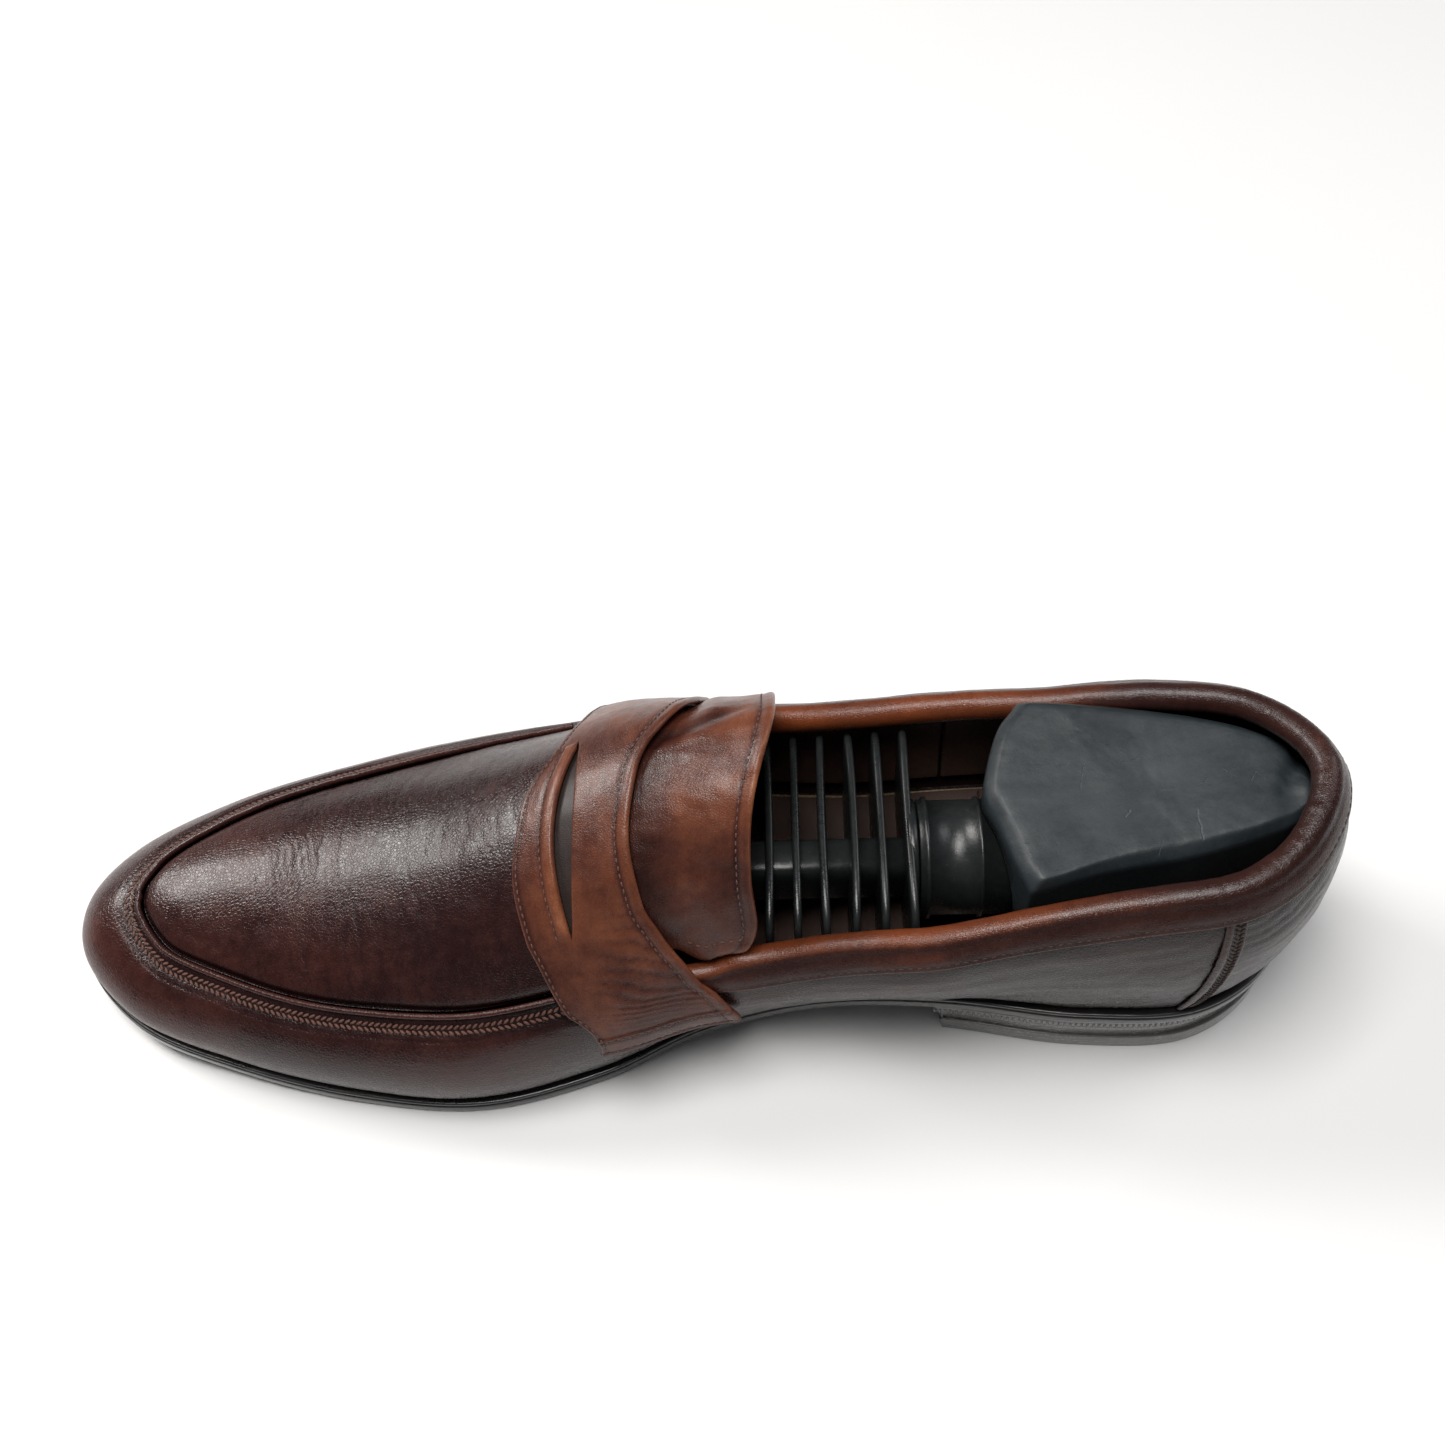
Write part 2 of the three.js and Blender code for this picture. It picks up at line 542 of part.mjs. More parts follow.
// Collar: a folded strip that wraps the top edge of leather and lining.
const ROLL_STEPS = 4;
function collarPoint(s, step, radius) {
  const end = collarEnd(s);
  const start = bandFoot(s);
  if (step < 2) return wall(s, step ? (start + end) / 2 : start, COLLAR.middle + radius);
  const turned = (step - 2) / ROLL_STEPS;
  if (turned > 1) return wall(s, below(s, COLLAR.drop + COLLAR.inside), COLLAR.middle - radius);
  const middle = wall(s, end, COLLAR.middle);
  const out = wall(s, end, COLLAR.middle + 1).sub(middle);
  const up = wall(s, end + 0.01, COLLAR.middle).sub(middle).normalize();
  return middle.addScaledVector(out, radius * Math.cos(Math.PI * turned))
    .addScaledVector(up, radius * Math.sin(Math.PI * turned));
}
const collarFrom = onStop(sAt(COLLAR_START, 1) - 1);
const collarTo = onStop(sAt(COLLAR_START, -1));
const collarStations = Math.round((collarTo - collarFrom) / S_STEP);
const collarSteps = ROLL_STEPS + 3;
add('collar_binding', 'collar', skin(collarStations, collarSteps, (u, v, layer) => collarPoint(
  mix(collarFrom, collarTo, u), Math.round(v * collarSteps),
  layer ? COLLAR.outer : COLLAR.inner)));

// Saddle strap with its slit, and the dark patch under the slit.
const strapFront = smooth(STRAP_FRONT);
const strapRear = smooth(STRAP_REAR);
const slitShape = new THREE.Shape();
slitShape.moveTo(...SLIT.from);
slitShape.quadraticCurveTo(SLIT.front, (SLIT.from[1] + SLIT.to[1]) / 2, ...SLIT.to);
slitShape.quadraticCurveTo(SLIT.rear, (SLIT.from[1] + SLIT.to[1]) / 2, ...SLIT.from);
const slitTool = new THREE.ExtrudeGeometry(
  slitShape, { depth: 60, bevelEnabled: false, curveSegments: 8 });
slitTool.translate(0, 0, 40);
slitTool.deleteAttribute('normal');
slitTool.deleteAttribute('uv');
add('saddle_strap', 'strap', cut(skin(4, 24, (u, v, layer) => saddle(
  mix(strapFront(v)[0], strapRear(v)[0], u), v, STRAP[layer])), slitTool));
add('slit_backing', 'lining', skin(3, 10, (u, v, layer) => {
  const across = mix(0.27, 0.66, v);
  const front = Math.max(strapFront(across)[0] + 2, -30.5);
  return saddle(mix(front, -20, u), across, SLIT_BACKING[layer]);
}));

// Tongue: a root held under the strap and a free flap behind it.
const strapLine = (v) => strapRear(0.5 + 0.284 * v)[0] - 0.6;
const tongueEnd = (v) => 15.1 + 6.1 * THREE.MathUtils.smoothstep(v, -0.6, 0.5);
function tongueFace(x, v) {
  const free = THREE.MathUtils.smoothstep(x, 4, 9.5);
  const point = apronFace(x, v * mix(0.955, 1.05, free));
  point.z += free * (v < 0 ? TONGUE_LIFT.medial * Math.abs(v) ** 3 : TONGUE_LIFT.lateral * v * v);
  return point;
}
add('tongue_root', 'strap', skin(3, 12, (u, v, layer) => {
  const across = mix(-1, 1, v);
  const x = mix(TONGUE_ROOT, strapLine(across), u);
  return offsetFrom(tongueFace, x, across, LEATHER[layer]);
}));
add('tongue_flap', 'strap', skin(6, 14, (u, v, layer) => {
  const across = mix(-1, 1, v);
  const x = mix(strapLine(across) + 0.5, tongueEnd(across), u);
  return offsetFrom(tongueFace, x, across, LEATHER[layer]);
}));

// Linings and stiffeners inside the upper.
const LINING_FOOT = T_STEP;
const LINING_TOP = 6 * T_STEP;
add('toe_puff', 'board', panel(
  fixed(sAt(-100, -1)), fixed(sAt(-100, 1)), fixed(LINING_FOOT), fixed(LINING_TOP),
  STIFFENER));
add('counter_stiffener', 'board', panel(
  fixed(sAt(78, 1) - 1), fixed(sAt(78, -1)), fixed(LINING_FOOT), fixed(5 * T_STEP),
  STIFFENER));
add('vamp_lining', 'lining', panel(
  fixed(vampJoin.medial + HAIR), fixed(vampJoin.lateral - HAIR), fixed(LINING_FOOT),
  fixed(LINING_TOP), LINING));
add('plug_lining', 'lining', skin(12, 8, (u, v, layer) => apron(
  mix(tip + 5, TONGUE_ROOT - 0.6, u), mix(-0.92, 0.92, v), PLUG_LINING[layer])));
const liningEnd = (s) => below(s, COLLAR.drop + 1.5);
const liningTop = (s) => Math.min(0.93, liningEnd(s));
add('quarter_lining_medial', 'lining', panel(
  fixed(liningJoin.medial + HAIR), fixed(vampJoin.medial - HAIR), fixed(LINING_FOOT),
  liningTop, LINING));
add('quarter_lining_lateral', 'lining', panel(
  fixed(vampJoin.lateral + HAIR), fixed(liningJoin.lateral - HAIR), fixed(LINING_FOOT),
  liningTop, LINING));
add('heel_lining', 'lining', panel(
  fixed(liningJoin.lateral - 1 + HAIR), fixed(liningJoin.medial - HAIR),
  fixed(LINING_FOOT), liningTop, LINING));

// Shoe tree: the toe form is one moulding of body, spine and fins.
const signedPower = (value, power) => Math.sign(value) * Math.abs(value) ** power;
function ovalRing(x, [y, z], [halfWidth, halfHeight], roundness, count) {
  return Array.from({ length: count }, (_, k) => {
    const a = (2 * Math.PI * k) / count;
    return new THREE.Vector3(x, y + halfWidth * signedPower(Math.cos(a), roundness),
      z + halfHeight * signedPower(Math.sin(a), roundness));
  });
}
const FORM_STATIONS = 10;
const FORM_WALL = [0.3, 0.55, 0.8];
const FORM_TOP = [-0.8, -0.4, 0, 0.4, 0.8];
function formRing(x) {
  const sides = [-1, 1].map((side) => (
    FORM_WALL.map((t) => wallAtX(x, side, t, -FORM.clearance))));
  const over = FORM_TOP.map((v) => apron(x, v, -FORM.clearance));
  const foot = [0.85, 0, -0.85].map((v) => new THREE.Vector3(
    x, mix(sides[0][0].y, sides[1][0].y, (v + 1) / 2), soleZ(x) + FORM.floor));
  return [...sides[0], ...over, ...sides[1].reverse(), ...foot]
    .map((p) => p.setX(x).setZ(Math.max(p.z, soleZ(x) + FORM.floor)));
}
const formRings = Array.from({ length: FORM_STATIONS + 1 }, (_, i) => (
  formRing(mix(FORM.from, FORM.to, i / FORM_STATIONS))));
const noseCentre = new THREE.Vector3(FORM.from, 0, soleZ(FORM.from) + FORM.floor + 6);
const noseRing = formRings[0].map((p) => (
  noseCentre.clone().lerp(p, 0.5).setX(FORM.nose).add(new THREE.Vector3(0, 0, 1))));
const formBody = loft([noseRing, ...formRings]);
const finRings = Array.from({ length: FIN.count }, (_, i) => {
  const x = FIN.first + i * FIN.pitch;
  const size = [FIN.half, 13 + 0.1 * (x - FIN.first)];
  const middle = [FIN.middle + FIN.shift * (x - FIN.first), 34 + 0.15 * (x - FIN.first)];
  return [x - FIN.thickness / 2, x + FIN.thickness / 2].map((at) => (
    ovalRing(at, middle, size, 0.45, 20)));
});
const spine = new THREE.BoxGeometry(SPINE[1] - SPINE[0], 9, 14)
  .translate((SPINE[0] + SPINE[1]) / 2, NECK.y + 1, 36);
add('tree_toe_form', 'plastic', join(
  formBody, spine, ...finRings.map((rings) => loft(rings)),
  bar(NECK.radius, 50, NECK.from - GAP, [NECK.y, NECK.z], true, 24)));
add('tree_neck', 'plastic', cut(
  bar(NECK.radius, NECK.from, NECK.to, [NECK.y, NECK.z], true, 24),
  bar(NECK.radius - NECK.wall, SPRING.from - 0.6, NECK.to + 5, [NECK.y, NECK.z], true, 18)));
add('tree_plunger', 'steel', bar(ROD.radius, ROD.from, BORE.depth - GAP, [NECK.y, NECK.z], true));
class Coil extends THREE.Curve {
  getPoint(u, target = new THREE.Vector3()) {
    const a = 2 * Math.PI * SPRING.turns * u;
    return target.set(mix(SPRING.from + 0.6, SPRING.to, u),
      NECK.y + SPRING.radius * Math.cos(a), NECK.z + SPRING.radius * Math.sin(a));
  }
}
const wire = new THREE.Shape();
wire.absarc(0, 0, SPRING.wire, 0, 2 * Math.PI);
add('tree_spring', 'steel', new THREE.ExtrudeGeometry(wire, {
  steps: SPRING.turns * 8, curveSegments: 3, extrudePath: new Coil(), bevelEnabled: false,
}));
const BLOCK_LEVELS = [[0, 0.8], [0.12, 0.9], [0.35, 1], [0.94, 1], [1, 0.975]];
const blockBody = loft(BLOCK_LEVELS.map(([height, scale]) => BLOCK_TOP.map(([x, y]) => {
  const top = BLOCK.level + BLOCK.tilt * (y - 2);
  return new THREE.Vector3(mix(BLOCK.centre[0], x, scale), mix(BLOCK.centre[1], y, scale),
    mix(BLOCK.bottom, top, height));
})));
add('tree_heel_block', 'plastic', cut(
  blockBody, bar(BORE.radius, 60, BORE.depth, [NECK.y, NECK.z], true, 24)));

export default shoe;
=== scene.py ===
# Looks of a brown penny loafer with its plastic shoe tree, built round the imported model.
import math

import bmesh
import bpy
import numpy as np
from mathutils import Matrix, Vector, noise


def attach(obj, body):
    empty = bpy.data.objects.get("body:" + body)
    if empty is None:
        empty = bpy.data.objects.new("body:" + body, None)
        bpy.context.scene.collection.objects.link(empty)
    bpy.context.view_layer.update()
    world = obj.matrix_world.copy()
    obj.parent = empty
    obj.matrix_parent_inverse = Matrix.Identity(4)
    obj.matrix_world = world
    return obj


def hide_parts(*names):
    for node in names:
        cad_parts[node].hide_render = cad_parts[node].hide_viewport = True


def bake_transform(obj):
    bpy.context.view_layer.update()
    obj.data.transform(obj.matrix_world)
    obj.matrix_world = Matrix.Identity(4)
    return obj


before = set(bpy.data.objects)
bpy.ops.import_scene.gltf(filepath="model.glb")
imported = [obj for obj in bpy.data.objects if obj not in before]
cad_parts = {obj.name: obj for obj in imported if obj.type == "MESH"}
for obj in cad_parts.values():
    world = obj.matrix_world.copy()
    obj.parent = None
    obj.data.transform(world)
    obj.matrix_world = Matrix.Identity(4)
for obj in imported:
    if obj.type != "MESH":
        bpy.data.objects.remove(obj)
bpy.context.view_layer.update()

# ------------------------------------------------------------------ the last, in millimetres
# Toe towards -x, inner side of the foot towards -y. Layers are heights over the outer face.
BOX_CENTRE = (-1.8, 2.7)
SOLE_EDGE = [
    (142, 2), (134, -18), (117, -29.5), (90, -30.5), (60, -25.5), (28, -22.5), (2, -26.5),
    (-22, -36.5), (-50, -43.2), (-80, -40.8), (-110, -33.5), (-134, -24), (-148, -9),
    (-149.5, 5), (-140, 20), (-118, 33), (-86, 42), (-50, 47), (-18, 46.5), (12, 40.5),
    (42, 35.5), (76, 35), (108, 34), (131, 24),
]
SOLE_RISE = [
    (-152, 10.5), (-148, 9), (-134, 6), (-110, 2.6), (-80, 0.7), (-50, 0), (-22, 0.6),
    (2, 3.4), (28, 8), (60, 13.2), (90, 14.6), (150, 15.2),
]
CREST = [
    (-131, 31), (-125, 33.5), (-115, 36), (-100, 39), (-80, 43), (-60, 49), (-40, 57.6),
    (-22, 66), (-5, 72.5), (12, 77.5), (30, 81),
]
# Side sections: x on the outline, side, then three curve handles as distance out and height.
SECTIONS = [
    (142, -1, 3, 34, 10.5, 58, -4.5, 75.5), (128, -1, 3, 33, 8, 58, -5.5, 71.5),
    (105, -1, 2, 32, 6, 56, -7, 68), (88, -1, 2, 31, 8, 54, -5.5, 65),
    (50, -1, 5, 24, 17, 45, 2, 54.5), (14, -1, 5, 17, 12.5, 34, 0, 43),
    (-8, -1, 4, 15, 8, 32, -3, 41), (-30, -1, 3.5, 14, 2.5, 31, -7.5, 36),
    (-60, -1, 3.5, 13, 0.5, 27, -10.5, 31.5), (-95, -1, 3, 13, -1, 25, -11.5, 28.5),
    (-125, -1, 2.5, 16, -2.5, 25, -14, 28.5), (-150, 0, 2.5, 20, -5, 29, -19, 30.5),
    (-130, 1, 2.5, 16, -3.5, 28, -16, 31.5), (-95, 1, 2.5, 14, -1.5, 30, -13, 33),
    (-60, 1, 3, 14, 0.5, 32, -12, 36.5), (-30, 1, 3, 15, 1.5, 36, -11, 42),
    (-8, 1, 3.5, 17, 4, 40, -8, 48), (14, 1, 4, 20, 6.5, 42, -6, 50),
    (50, 1, 4, 26, 7.5, 50, -4.5, 57), (88, 1, 3, 32, 6, 54, -7.5, 63.5),
    (105, 1, 3, 33, 6.5, 56, -8.5, 66.8), (128, 1, 3, 34, 8, 58, -6.5, 70.8),
]
FEATHER_INSET = 2.0
LASTING_MARGIN = 12.0
UPPER_BASE = 4.5
LASTED = -0.35
CROWN_POWER = 2.3
HEEL_BREAST = 59
BREAST_LEAN = 0.23
LEATHER = (-1.4, 0)
LINING = (-3.7, -2.7)
PLUG_LINING = (-2.9, -1.9)
COUNTER_STRIP = (0.05, 0.75)
EDGE_ROUND = 0.65
STRAP = (1.2, 2.5)
TOP_EDGE = 0.985
ROLL_MIDDLE, ROLL_RADIUS, ROLL_DROP, BAND, INSIDE = -1.85, 2.8, 3.4, 10, 4.6
STRAP_FRONT = [
    (0, -20.5), (0.05, -20.5), (0.1, -21.5), (0.15, -24), (0.2, -28), (0.25, -31.5),
    (0.3, -34.5), (0.4, -36.7), (0.5, -35), (0.6, -27.5), (0.7, -23.5), (0.85, -21.5), (1, -21),
]
STRAP_REAR = [
    (0, 11.5), (0.05, 10.5), (0.1, 8.5), (0.15, 6), (0.2, 1.5), (0.25, -4.5),
    (0.3, -8.5), (0.4, -10.5), (0.5, -8.5), (0.6, -2), (0.7, 3), (0.85, 6.5), (1, 10),
]
TONGUE_ROOT = -19.7
TONGUE_HALF = 29
SLIT_LINE = (-24, -22)
SLIT_START_Y, SLIT_LENGTH = -23, 39
FRONT_STITCH, REAR_STITCH, LIP_STITCH, HEM_STITCHES = 1.15, 2.9, 3.1, (1.3, 5.2)
TONGUE_STITCH = 3.1
STRIP_WIDTH = 4.6
TREE_Y, TREE_Z = -1, 42
FORM_CLEARANCE = 5.0
FIN_FIRST, FIN_PITCH, FIN_COUNT, FIN_HALF = 18.6, 6.4, 6, 27.1
SPRING_FROM, SPRING_TO, SPRING_TURNS, SPRING_RADIUS, WIRE_RADIUS = 57.6, 92.5, 7, 7.6, 0.8
BLOCK_FOOT, BLOCK_HEAD = 30.5, 63.5
BLOCK_TOP = [
    (75.7, 26), (74, 24), (71, 20), (68, 11.7), (66.6, 3.4), (69.2, -4.5), (72.2, -13.8),
    (73.9, -18.3), (74.8, -20), (77, -19.6), (90, -15.8), (109, -12.6), (129, -7), (138, -2.4),
    (139.6, -1), (140, 1), (138.8, 5.8), (133.5, 14), (118.5, 20.8), (94.5, 25), (78, 26.2),
]


def smooth(rows):
    """Monotone cubic through rows of (x, value, value, ...)."""
    table = np.array(rows, float)
    x, y = table[:, 0], table[:, 1:]
    slope = np.diff(y, axis=0) / np.diff(x)[:, None]
    tangent = np.concatenate([slope[:1], np.zeros_like(slope[1:]), slope[-1:]])
    a, b = slope[:-1], slope[1:]
    tangent[1:-1] = np.where(a * b > 0, 2 * a * b / np.where(a + b == 0, 1, a + b), 0)

    def at(q):
        q = np.clip(np.asarray(q, float), x[0], x[-1])
        k = np.clip(np.searchsorted(x, q) - 1, 0, len(x) - 2)
        h = (x[k + 1] - x[k])[..., None]
        u = (q - x[k])[..., None] / h
        return ((1 + 2 * u) * (1 - u) ** 2 * y[k] + u * (1 - u) ** 2 * h * tangent[k]
                + u * u * (3 - 2 * u) * y[k + 1] + u * u * (u - 1) * h * tangent[k + 1])
    return at


def spline_piece(p0, p1, p2, p3, u):
    """Centripetal Catmull-Rom curve between p1 and p2."""
    d0, d1, d2 = (np.linalg.norm(b - a, axis=-1, keepdims=True) ** 0.5 + 1e-9
                  for a, b in ((p0, p1), (p1, p2), (p2, p3)))
    t1 = ((p1 - p0) / d0 - (p2 - p0) / (d0 + d1) + (p2 - p1) / d1) * d1
    t2 = ((p2 - p1) / d1 - (p3 - p1) / (d1 + d2) + (p3 - p2) / d2) * d1
    return ((2 * u ** 3 - 3 * u * u + 1) * p1 + (u ** 3 - 2 * u * u + u) * t1
            + (3 * u * u - 2 * u ** 3) * p2 + (u ** 3 - u * u) * t2)


def closed_curve(points, steps):
    """Evenly spaced points on a closed curve through the given ones, first one repeated."""
    p = np.array(points, float)
    u = np.linspace(0, 1, 100, endpoint=False)[:, None]
    n = len(p)
    dense = np.concatenate([spline_piece(p[i - 1], p[i], p[(i + 1) % n], p[(i + 2) % n], u)
                            for i in range(n)])
    dense = np.concatenate([dense, dense[:1]])
    length = np.concatenate([[0], np.cumsum(np.linalg.norm(np.diff(dense, axis=0), axis=1))])
    at = np.linspace(0, length[-1], steps + 1)
    return np.stack([np.interp(at, length, dense[:, c]) for c in (0, 1)], -1), length[-1]


def plan_normals(ring):
    """Outward normals in plan of a ring of points that isn't repeated at its end."""
    ahead = np.roll(ring, -4, 0) - np.roll(ring, 3, 0)
    normal = np.stack([-ahead[:, 1], ahead[:, 0]], -1)
    return normal / np.linalg.norm(normal, axis=1)[:, None]


sole_rise = smooth(SOLE_RISE)
crest = smooth(CREST)
STEPS = 1200
EDGE, EDGE_LENGTH = closed_curve(SOLE_EDGE, STEPS)
EDGE_NORMAL = plan_normals(EDGE[:-1])
EDGE_NORMAL = np.concatenate([EDGE_NORMAL, EDGE_NORMAL[:1]])
TOE = EDGE[:, 0].argmin() / STEPS


def sole_z(x):
    """Height of the sole's underside."""
    return sole_rise(x)[..., 0]


def step(x, a, b):
    """Soft step from 0 at a to 1 at b."""
    t = np.clip((np.asarray(x, float) - a) / (b - a), 0, 1)
    return t * t * (3 - 2 * t)


def mix(a, b, t):
    return a + (b - a) * t


def bell(x, middle, width):
    """Soft bump of height 1."""
    return np.exp(-((np.asarray(x, float) - middle) / width) ** 2)


def edge_at(s):
    """Point and outward normal of the sole's edge; s from 0 at the heel, medial side first."""
    place = np.mod(np.asarray(s, float), 1.0) * STEPS
    grid = np.arange(STEPS + 1)
    point = np.stack([np.interp(place, grid, EDGE[:, c]) for c in (0, 1)], -1)
    normal = np.stack([np.interp(place, grid, EDGE_NORMAL[:, c]) for c in (0, 1)], -1)
    return point, normal / np.linalg.norm(normal, axis=-1, keepdims=True)


def s_at(x, side):
    """Share of the outline at which it has this x, on the medial (-1) or lateral side."""
    toe = int(TOE * STEPS)
    if side < 0:
        return np.interp(-x, -EDGE[:toe + 1, 0], np.arange(toe + 1)) / STEPS
    return (toe + np.interp(x, EDGE[toe:, 0], np.arange(STEPS + 1 - toe))) / STEPS


SECTION_ROWS = [[TOE if side == 0 else float(s_at(x, side)), *h] for x, side, *h in SECTIONS]
SECTION_ROWS[0][0] = 0.0
sections = smooth([[r[0] - 1, *r[1:]] for r in SECTION_ROWS[-2:]] + SECTION_ROWS
                  + [[r[0] + 1, *r[1:]] for r in SECTION_ROWS[:2]])


def wall(s, t, offset=0.0):
    """Side of the upper: t from 0 at the feather line to 1 at the seam or top line."""
    s, t, offset = np.broadcast_arrays(np.asarray(s, float), t, offset)
    point, normal = edge_at(s)
    o1, z1, o2, z2, o3, z3 = np.moveaxis(sections(np.mod(s, 1.0)), -1, 0)
    fold = -FEATHER_INSET + np.minimum(t, 0) * LASTING_MARGIN
    base = sole_z(point[..., 0] + normal[..., 0] * fold) + UPPER_BASE
    q = np.maximum(t, 0)
    r = 1 - q
    out = fold * r ** 3 + 3 * o1 * q * r * r + 3 * o2 * q * q * r + o3 * q ** 3
    up = base * r ** 3 + 3 * z1 * q * r * r + 3 * z2 * q * q * r + z3 * q ** 3
    d_out = (o1 + FEATHER_INSET) * r * r + 2 * (o2 - o1) * q * r + (o3 - o2) * q * q
    d_up = (z1 - base) * r * r + 2 * (z2 - z1) * q * r + (z3 - z2) * q * q
    d_out, d_up = np.where(t < 0, 1.0, d_out), np.where(t < 0, 0.0, d_up)
    size = np.hypot(d_out, d_up)
    shift = out + offset * d_up / size
    return np.stack([point[..., 0] + normal[..., 0] * shift,
                     point[..., 1] + normal[..., 1] * shift, up - offset * d_out / size], -1)


def reach(s):
    """Length of side wall for one unit of t at its top."""
    o1, z1, o2, z2, o3, z3 = np.moveaxis(sections(np.mod(s, 1.0)), -1, 0)
    return 3 * np.hypot(o3 - o2, z3 - z2)


def below(s, distance):
    """Height t of a point this many millimetres down from the top line."""
    return 1 - distance / reach(s)


line_cache = {}


def side_line(x, side, t):
    """Point of the side wall at height t where it has this x."""
    if (side, t) not in line_cache:
        line = wall(np.linspace(0 if side < 0 else 1, TOE, 1500), t)
        line_cache[side, t] = line[np.argsort(line[:, 0])]
    line = line_cache[side, t]
    x = np.asarray(x, float)
    return np.stack([x, np.interp(x, line[:, 0], line[:, 1]),
                     np.interp(x, line[:, 0], line[:, 2])], -1)


def over_instep(x, v):
    """Top of the foot: v from -1 at the medial seam to 1 at the lateral one."""
    x, v = np.broadcast_arrays(np.asarray(x, float), v)
    medial, lateral = side_line(x, -1, 1.0), side_line(x, 1, 1.0)
    k = ((v + 1) / 2)[..., None]
    point = medial * (1 - k) + lateral * k
    rise = crest(x)[..., 0] - (medial[..., 2] + lateral[..., 2]) / 2
    point[..., 2] += rise * (1 - np.abs(v) ** CROWN_POWER)
    return point


def saddle(x, w):
    """One smooth curve over the instep at each x: w from 0 medial to 1 lateral."""
    x, w = np.broadcast_arrays(np.asarray(x, float), w)
    levels = (0.53, 0.7, 0.88)
    stops = [side_line(x, -1, t) for t in levels]
    stops += [over_instep(x, v) for v in (-0.8, -0.5, -0.2, 0.2, 0.5, 0.8)]
    stops += [side_line(x, 1, t) for t in levels[::-1]]
    stops = np.stack([2 * stops[0] - stops[1], *stops, 2 * stops[-1] - stops[-2]])
    place = np.clip(w, 0, 1) * (len(stops) - 3)
    k = np.minimum(place.astype(int), len(stops) - 4)
    picked = [np.take_along_axis(stops, (k + n)[None, ..., None], 0)[0] for n in range(4)]
    return spline_piece(*picked, (place - k)[..., None])


# ------------------------------------------------------------------ making meshes
def metres(points):
    """Drawing millimetres to metres in the frame."""
    return (np.asarray(points, float) - (BOX_CENTRE[0], BOX_CENTRE[1], 0)) / 1000


def placed(name, mesh):
    """Object at the origin that holds a mesh."""
    obj = bpy.data.objects.new(name, mesh)
    bpy.context.scene.collection.objects.link(obj)
    return obj


MERGE = 1e-6


def make(name, points, faces, marks=None):
    """Closed, smooth-shaded mesh from points in drawing millimetres."""
    mesh = bpy.data.meshes.new(name)
    clean = [list(dict.fromkeys(f)) for f in faces]
    mesh.from_pydata(metres(points).tolist(), [], [f for f in clean if len(f) > 2])
    for key, values in (marks or {}).items():
        values = np.asarray(values, float)
        kind, field = ("FLOAT_VECTOR", "vector") if values.ndim == 2 else ("FLOAT", "value")
        mesh.attributes.new(key, kind, "POINT").data.foreach_set(field, values.ravel())
    work = bmesh.new()
    work.from_mesh(mesh)
    bmesh.ops.remove_doubles(work, verts=work.verts, dist=MERGE)
    bmesh.ops.recalc_face_normals(work, faces=work.faces)
    work.to_mesh(mesh)
    work.free()
    mesh.shade_smooth()
    return placed(name, mesh)


def quads(ids):
    """Faces between the rows and columns of a grid of point numbers."""
    a, b, c, d = ids[:-1, :-1], ids[1:, :-1], ids[1:, 1:], ids[:-1, 1:]
    return np.stack([a, b, c, d], -1).reshape(-1, 4).tolist()


AXIS_Y, AXIS_Z = 3.0, 25.0


def normals(grid):
    """Unit normals of a grid of points, away from the shoe's long axis."""
    n = np.cross(np.gradient(grid, axis=0), np.gradient(grid, axis=1))
    n /= np.linalg.norm(n, axis=-1, keepdims=True) + 1e-12
    away = grid - np.stack([grid[..., 0], np.full(grid.shape[:2], AXIS_Y),
                            np.full(grid.shape[:2], AXIS_Z)], -1)
    return n if (n * away).sum() > 0 else -n


def edge_steps(length, spacing, radius):
    """Distances from 0 to length, crowded where the edge turns over."""
    turn = radius * np.array([0, 0.03, 0.12, 0.35, 0.65])
    middle = np.linspace(radius, length - radius, max(3, int((length - 2 * radius) / spacing)))
    return np.concatenate([turn, middle, length - turn[::-1]])


def fullness(distance, radius):
    """Share of the thickness at a distance from a rounded edge."""
    k = 1 - np.clip(np.asarray(distance) / radius, 0, 1)
    return np.sqrt(np.maximum(1 - k * k, 0))


def rough(points, size, seed=0.0, octaves=3):
    """Soft noise between about -1 and 1; size is its grain in millimetres."""
    q = (points / np.asarray(size, float) + seed).reshape(-1, 3).tolist()
    values = [noise.fractal(p, 1.0, 2.0, octaves) for p in q]
    return np.array(values).reshape(points.shape[:-1])


def creases(phase, sharp=3.0):
    """Narrow valleys where phase is whole, 0 between them and -1 at the bottom."""
    return -(1 - np.abs(np.sin(math.pi * phase))) ** sharp


def two_sided(name, base, layers, fill, relief, marks, gap_after=None):
    """Closed skin round a grid: thickness from layers, closed where fill falls to 0."""
    out = normals(base)
    mid = base + out * (layers[0] + layers[1]) / 2
    half = (layers[1] - layers[0]) / 2 * fill
    upper = mid + out * (half + relief * fill)[..., None]
    lower = mid - out * half[..., None]
    n, m = base.shape[:2]
    ids = np.arange(n * m).reshape(n, m)
    parts = [ids] if gap_after is None else [ids[:gap_after + 1], ids[gap_after + 1:]]
    faces = [f for part in parts for layer in (0, n * m) for f in quads(part + layer)]
    flat = {k: np.concatenate([np.reshape(v, (n * m, -1))] * 2).squeeze()
            for k, v in marks.items()}
    obj = make(name, np.concatenate([upper.reshape(-1, 3), lower.reshape(-1, 3)]), faces, flat)
    return obj, upper, normals(upper)


